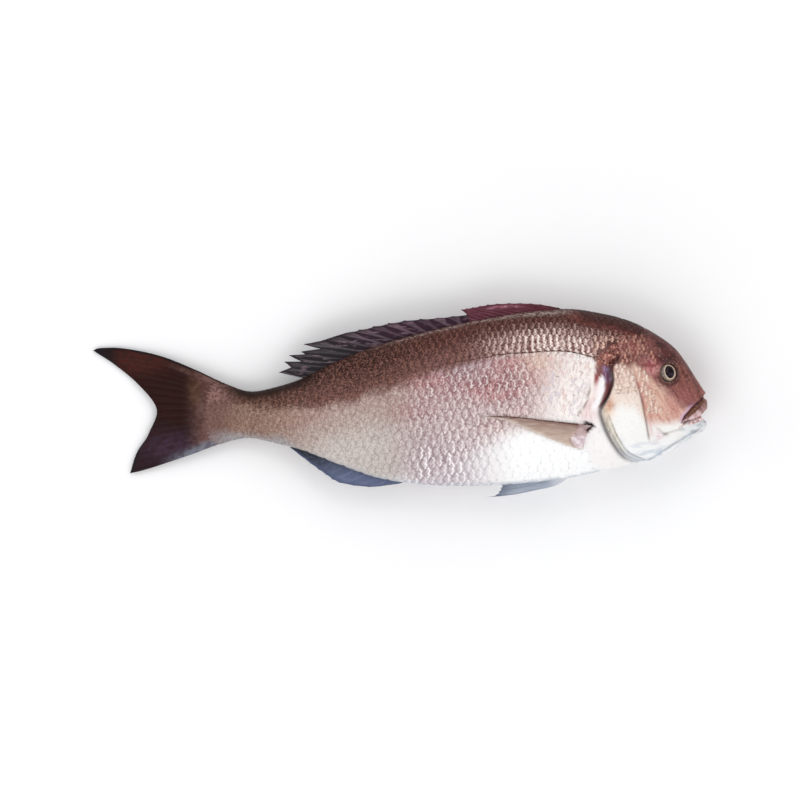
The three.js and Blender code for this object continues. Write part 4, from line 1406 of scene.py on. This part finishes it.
def spineMarks(x, y):
    root, _ = lineField(finLines["spineRoot"], x, y)
    sheen, share = lineField(finLines["spineSheen"], x, y)
    return {"sheen": hump(0, 1.1, sheen) * ends(share, 0.3), "shade": smooth(2.6, 0.6, np.abs(root))}


def tailMarks(x, y):
    top, bottom = (np.abs(lineField(finLines[key], x, y)[0]) for key in ("tailTop", "tailBottom"))
    return {
        "red": spot(x, y, (-214, 32, 32, 12)),
        "purple": spot(x, y, (-184, -38, 26, 12)),
        "mauve": np.maximum(smooth(-182, -150, x), 0.6 * hump(4.0, 3.0, top) * smooth(-204, -168, x)),
        "olive": spot(x, y, (-166, 8, 7, 13)),
        "steel": smooth(10.0, 0.5, bottom) * smooth(-208, -158, x),
        "black": np.maximum(smooth(1.5, 0.6, top), smooth(-222, -244, x) * smooth(20, 30, y)),
    }


# the fleshy root of the fin, behind which its rays begin
def pectoralMarks(x, y):
    crease, share = lineField(finLines["pectoralCrease"], x, y)
    pit, pitShare = lineField(axilLine, x, y)
    beyond, line = smooth(-0.6, 2.6, crease), hump(0, 0.9, crease) * ends(share, 0.25)
    low = smooth(-25.5, -31.0, y - 0.25 * (x - 146))
    return {
        "relief": 0.5 * smooth(0, 3.0, crease) - 0.3 * line,
        # pit: painted shadow in the axil pit at the root of the fin
        "pit": smooth(1.5, 0.5, np.abs(pit)) * ends(pitShare, 0.15),
        "lobe": beyond * low,
        "heel": beyond * (1 - low),
        "crease": line * low,
    }


# x and y of each curve, and for the paired fins how far it stands from its own plane
finForms = {
    "dorsalSpines": {
        "rays": 12, "perRay": 14, "rows": 40, "seed": 1, "thickness": (5.0, 1.5), "membrane": 0.55,
        "notch": 0.05, "ragged": 0.0, "waves": 3, "split": 0.0, "rayWidth": (0.3, 0.26), "slant": 5.0,
        "root": [[136, 72], [104, 68.5], [78, 64], [56, 59]],
        "margin": [[129, 75.2], [112.6, 78.2], [94, 79.1], [74, 78.2], [60, 75.8], [49.2, 74]],
        "first": [[136, 72], [129, 75.2]],
        "last": [[56, 59], [55, 68.5], [49.2, 74]],
    },
    "dorsalRays": {
        "rays": 17, "perRay": 16, "rows": 60, "seed": 2, "thickness": (4.0, 1.0), "membrane": 0.6,
        "notch": 0.06, "point": 0.15, "wave": 0.4, "waves": 4, "splitFrom": 0.3, "rayWidth": (0.16, 0.12), "sag": 1,
        "teeth": [
            [0.5, -44.5, 54.8], [0.56, -56.2, 51.1], [0.6, -64.6, 48.3], [0.64, -79.1, 45.5],
            [0.68, -65.1, 41.8], [0.7, -81.0, 39.7], [0.735, -77.4, 37.4], [0.77, -91.0, 36.6],
            [0.81, -80.5, 31.5], [0.85, -94.6, 31.4], [0.9, -88.6, 26.7], [1.0, -98.8, 22.6],
        ],
        "root": [
            [62, 60], [44, 57], [26, 53], [10, 49], [-8, 44], [-24, 38.5], [-40, 32.5], [-54, 26.5], [-74, 17],
        ],
        "margin": [
            [55, 69.9], [30, 67.2], [3, 65.0], [-22, 60.3], [-44.5, 54.8],
            [-56, 51], [-66, 47], [-80, 38], [-98.8, 22.6],
        ],
        "first": [[62, 60], [55, 69.9]],
        "last": [[-74, 17], [-88, 20.1], [-98.8, 22.6]],
    },
    "analFin": {
        "rays": 11, "perRay": 18, "rows": 44, "seed": 3, "thickness": (4.0, 1.1), "rayWidth": (0.14, 0.1), "sag": 1,
        "root": [[4, -62.5], [-17.5, -58], [-48.4, -47.5], [-80, -36.5]],
        "margin": [[-7.7, -68.8], [-25.6, -70.6], [-49.2, -67.3], [-60.6, -60.6], [-72.8, -51.6], [-89.8, -38.4]],
        "first": [[4, -62.5], [2, -67], [-7.7, -68.8]],
        "last": [[-80, -36.5], [-89.8, -38.4]],
    },
    "tailFin": {
        "rays": 19, "perRay": 16, "rows": 90, "seed": 4, "thickness": (5.0, 0.9), "membrane": 0.72,
        "notch": 0.003, "ragged": 0.004, "wave": 0.4, "split": 0.22, "splitFrom": 0.1, "rayWidth": (0.13, 0.1),
        "root": [[-141, 12.5], [-147, 2], [-149, -10], [-147, -22], [-141, -33]],
        "margin": [
            [-250, 40.4], [-232.5, 29.1], [-213, 12.8], [-196, -8.5],
            [-204.5, -27.8], [-214.2, -42.5], [-219.9, -59.6],
        ],
        "first": finLines["tailTop"][1:],
        "last": [[-141, -33], [-165.4, -42.6], [-194.7, -52.6], [-209.3, -57.1], [-219.9, -59.6]],
    },
    "pelvic": {
        "rays": 6, "perRay": 20, "rows": 60, "seed": 5, "splitFrom": 0.2,
        "root": [[142, -59.5, 0], [136, -58.5, 0], [128, -58, 0]],
        "margin": [[67.9, -79.1, 5], [76, -77.6, 4.4], [80, -73.6, 4], [82, -69, 3.4]],
        "first": [[142, -59.5, 0], [127.2, -69, 1.2], [110, -73.2, 2.4], [90, -77.1, 3.8], [67.9, -79.1, 5]],
        "last": [[128, -58, 0], [108, -65, 2], [82, -69, 3.4]],
    },
    "pectoral": {
        "rays": 12, "perRay": 12, "rows": 80, "seed": 6, "thickness": (3.2, 1.0), "membrane": 0.7,
        "splitFrom": 0.15, "rayWidth": (0.16, 0.12),
        "root": [[156.5, -20.5, -1], [154, -24.5, -0.6], [151, -28, -1]],
        "margin": [
            [61.5, -12.9, 0.9], [82, -16.2, 0.8], [104.5, -25.4, 1],
            [124, -33, 1.4], [140, -38.8, 1.4], [148.6, -40, 1],
        ],
        "first": [[156.5, -20.5, -1], [138.6, -18.5, 1.6], [112, -15.6, 1.2], [86, -12.9, 1.0], [61.5, -12.9, 0.9]],
        "last": [[151, -28, -1], [150, -34, 1], [148.6, -40, 1]],
    },
}
# membrane and ray have a tone at the front and one at the rear of the fin, edge is the margin's
finLooks = {
    "dorsalSpines": {
        "membrane": [(98, 50, 60), (96, 50, 62)], "ray": [(140, 92, 102), (150, 100, 112)], "lateAt": (0.2, 0.8),
        "rayShow": 0.6, "grain": 0.4, "grainWay": (0.25, 1.2, 1.0),
        "edge": (56, 28, 36), "edgeAt": (0.93, 1.0), "root": (62, 38, 40), "rootAt": (0.0, 0.2),
        "tints": [
            ("sheen", (196, 140, 156), (130, 78, 92), 0.85),
            ("shade", (36, 24, 28), (60, 40, 44), 0.85),
        ],
    },
    "dorsalRays": {
        "membrane": [(58, 38, 50), (42, 39, 43)], "ray": [(142, 118, 128), (122, 116, 118)], "lateAt": (0.3, 0.7),
        "rayShow": 0.95, "grain": 0.5, "grainWay": (0.22, 1.1, 1.0),
        "edge": (44, 36, 42), "edgeAt": (0.8, 1.0), "root": (44, 32, 36), "rootAt": (0.0, 0.35),
    },
    "analFin": {
        "membrane": [(98, 106, 134), (46, 48, 54)], "ray": [(130, 140, 168), (66, 68, 76)], "lateAt": (0.4, 0.95),
        "rayShow": 0.6, "grain": 0.2, "grainWay": (0.5, 0.8, 1.0),
        "edge": (78, 88, 116), "edgeAt": (0.75, 1.0), "root": (66, 66, 78), "rootAt": (0.0, 0.5),
    },
    "tailFin": {
        "membrane": [(42, 21, 18), (44, 28, 34)], "ray": [(60, 34, 30), (58, 42, 50)], "lateAt": (0.55, 0.85),
        "rayShow": 0.5, "grain": 0.25, "grainWay": (0.2, 1.2, 1.0),
        "edge": (32, 29, 32), "edgeAt": (0.88, 0.95), "root": (70, 44, 38), "rootAt": (0.0, 0.2),
        "tints": [
            ("red", (78, 36, 31), (62, 34, 30), 0.7),
            ("purple", (72, 54, 72), (60, 38, 48), 0.6),
            ("mauve", (122, 92, 88), (98, 68, 62), 0.85),
            ("olive", (92, 66, 46), (76, 50, 38), 0.6),
            ("steel", (120, 126, 138), (96, 96, 108), 0.85),
            ("black", (26, 22, 24), (34, 28, 32), 0.95),
        ],
    },
    "pelvic": {
        "membrane": [(172, 180, 194), (150, 158, 174)],
        "ray": [(206, 212, 224), (184, 192, 206)], "lateAt": (0.3, 0.9),
        "rayShow": 1.0, "grain": 0.2, "grainWay": (0.3, 1.2, 1.0),
        "edge": (116, 124, 142), "edgeAt": (0.7, 1.0), "root": (232, 232, 238), "rootAt": (0.05, 0.4),
    },
    "pectoral": {
        "membrane": [(146, 118, 110), (200, 178, 164)],
        "ray": [(166, 138, 126), (214, 196, 180)], "lateAt": (0.1, 0.85),
        "rayShow": 0.8, "grain": 0.25, "grainWay": (0.3, 1.3, 1.0),
        "edge": (220, 206, 198), "edgeAt": (0.82, 1.0), "root": (182, 156, 160), "rootAt": (0.0, 0.1),
        "lead": (96, 62, 58), "leadAt": (0.03, 0.17),
        "tints": [
            ("heel", (200, 176, 178), (170, 142, 140), 0.9),
            ("lobe", (236, 222, 226), (204, 182, 190), 0.95),
            ("crease", (150, 124, 122), (170, 146, 142), 0.7),
            # painted shadow in the axil pit
            ("pit", (24, 18, 20), (54, 38, 38), 0.9),
        ],
    },
}
pairForm = {
    "pelvicRoot": (142, 4.2),     # x, and how far from the middle plane the fin lies there
    "pelvicTip": (68, 1.7),
    "pectoralLift": 0.9,
    "pectoralLowest": 1.9,
    "pectoralNormal": (0.0, -0.25, 1.0),
}
finPaints = {name: makeFinPaint(name + "Skin", look) for name, look in finLooks.items()}
for name, marksOf in {"dorsalSpines": spineMarks, "dorsalRays": None, "analFin": None, "tailFin": tailMarks}.items():
    makeFin(name, finForms[name], finPaints[name], marksOf=marksOf)


def placePelvic(points, side):
    x, y, off = np.array(points, float).T
    (rootX, root), (tipX, tip) = pairForm["pelvicRoot"], pairForm["pelvicTip"]
    spread = blend(tip, root, smooth(tipX, rootX, x))
    return np.column_stack([x, y, bodyForm["trunkMiddle"] + side * spread - off])


def placePectoral(points, side):
    x, y, off = np.array(points, float).T
    z = bodyForm["trunkMiddle"] + side * (flankRise(x, y) + off * pairForm["pectoralLift"])
    return np.column_stack([x, y, np.maximum(z, pairForm["pectoralLowest"])])


for side, ending in ((1, "Right"), (-1, "Left")):
    makeFin("pelvic" + ending, finForms["pelvic"], finPaints["pelvic"], lambda points: placePelvic(points, side))
for side, ending in ((1, "Right"), (-1, "Left")):
    # the one that shows leans a little
    lean = {"normal": pairForm["pectoralNormal"]} if side > 0 else {}
    place = lambda points: placePectoral(points, side)
    makeFin("pectoral" + ending, {**finForms["pectoral"], **lean}, finPaints["pectoral"], place, pectoralMarks)
print("fins done")

# the studio: a pale table and large soft lamps
studio = {
    "table": ((252, 252, 253), (248, 248, 250)),
    "tableReach": 30.0,
    "sky": (1.0, 1.0, 1.0, 1.0),
    "skyStrength": 0.36,
    "lampSize": 1.7,
    "lamps": {                # place and power
        "keyLamp": ((-0.3, -1.3, 1.15), 15.6),
        "tailLamp": ((-1.5, 0.4, 1.1), 10.4),
        "headLamp": ((1.5, -0.1, 1.2), 10.4),
        "backLamp": ((0.2, 1.4, 1.2), 12.0),
    },
    "viewWidth": 0.6504,      # across the frame, at the height of the widest outline
    "viewHeight": 0.025,
    "viewAt": (0.0, 0.0002),
    "cameraHeight": 24.0,
}
floorMesh, _ = rawMesh("table", bmesh.ops.create_grid, x_segments=1, y_segments=1, size=studio["tableReach"])
floor = addObject("table", floorMesh)
floorPaint = Paint("tableTop", Roughness=0.7)
floorPaint.feed(Base_Color=floorPaint.mix(*studio["table"], floorPaint.noise(3.0)))
floorMesh.materials.append(floorPaint.material)

world = bpy.data.worlds.new("studio")
bpy.context.scene.world = world
world.use_nodes = True
world.node_tree.nodes["Background"].inputs["Color"].default_value = studio["sky"]
world.node_tree.nodes["Background"].inputs["Strength"].default_value = studio["skyStrength"]
for name, (place, power) in studio["lamps"].items():
    light = bpy.data.lights.new(name, "AREA")
    light.energy, light.size = power, studio["lampSize"]
    lamp = addObject(name, light)
    lamp.location = place
    lamp.rotation_euler = (lamp.location * -1).to_track_quat("-Z", "Y").to_euler()

camera = addObject("camera", bpy.data.cameras.new("camera"))
camera.location = (*studio["viewAt"], studio["cameraHeight"])
# a long lens from far above hardly foreshortens
distance = studio["cameraHeight"] - studio["viewHeight"]
camera.data.lens = camera.data.sensor_width * distance / studio["viewWidth"]
bpy.context.scene.camera = camera
bpy.context.scene.view_settings.view_transform = "Standard"
print("studio ready")
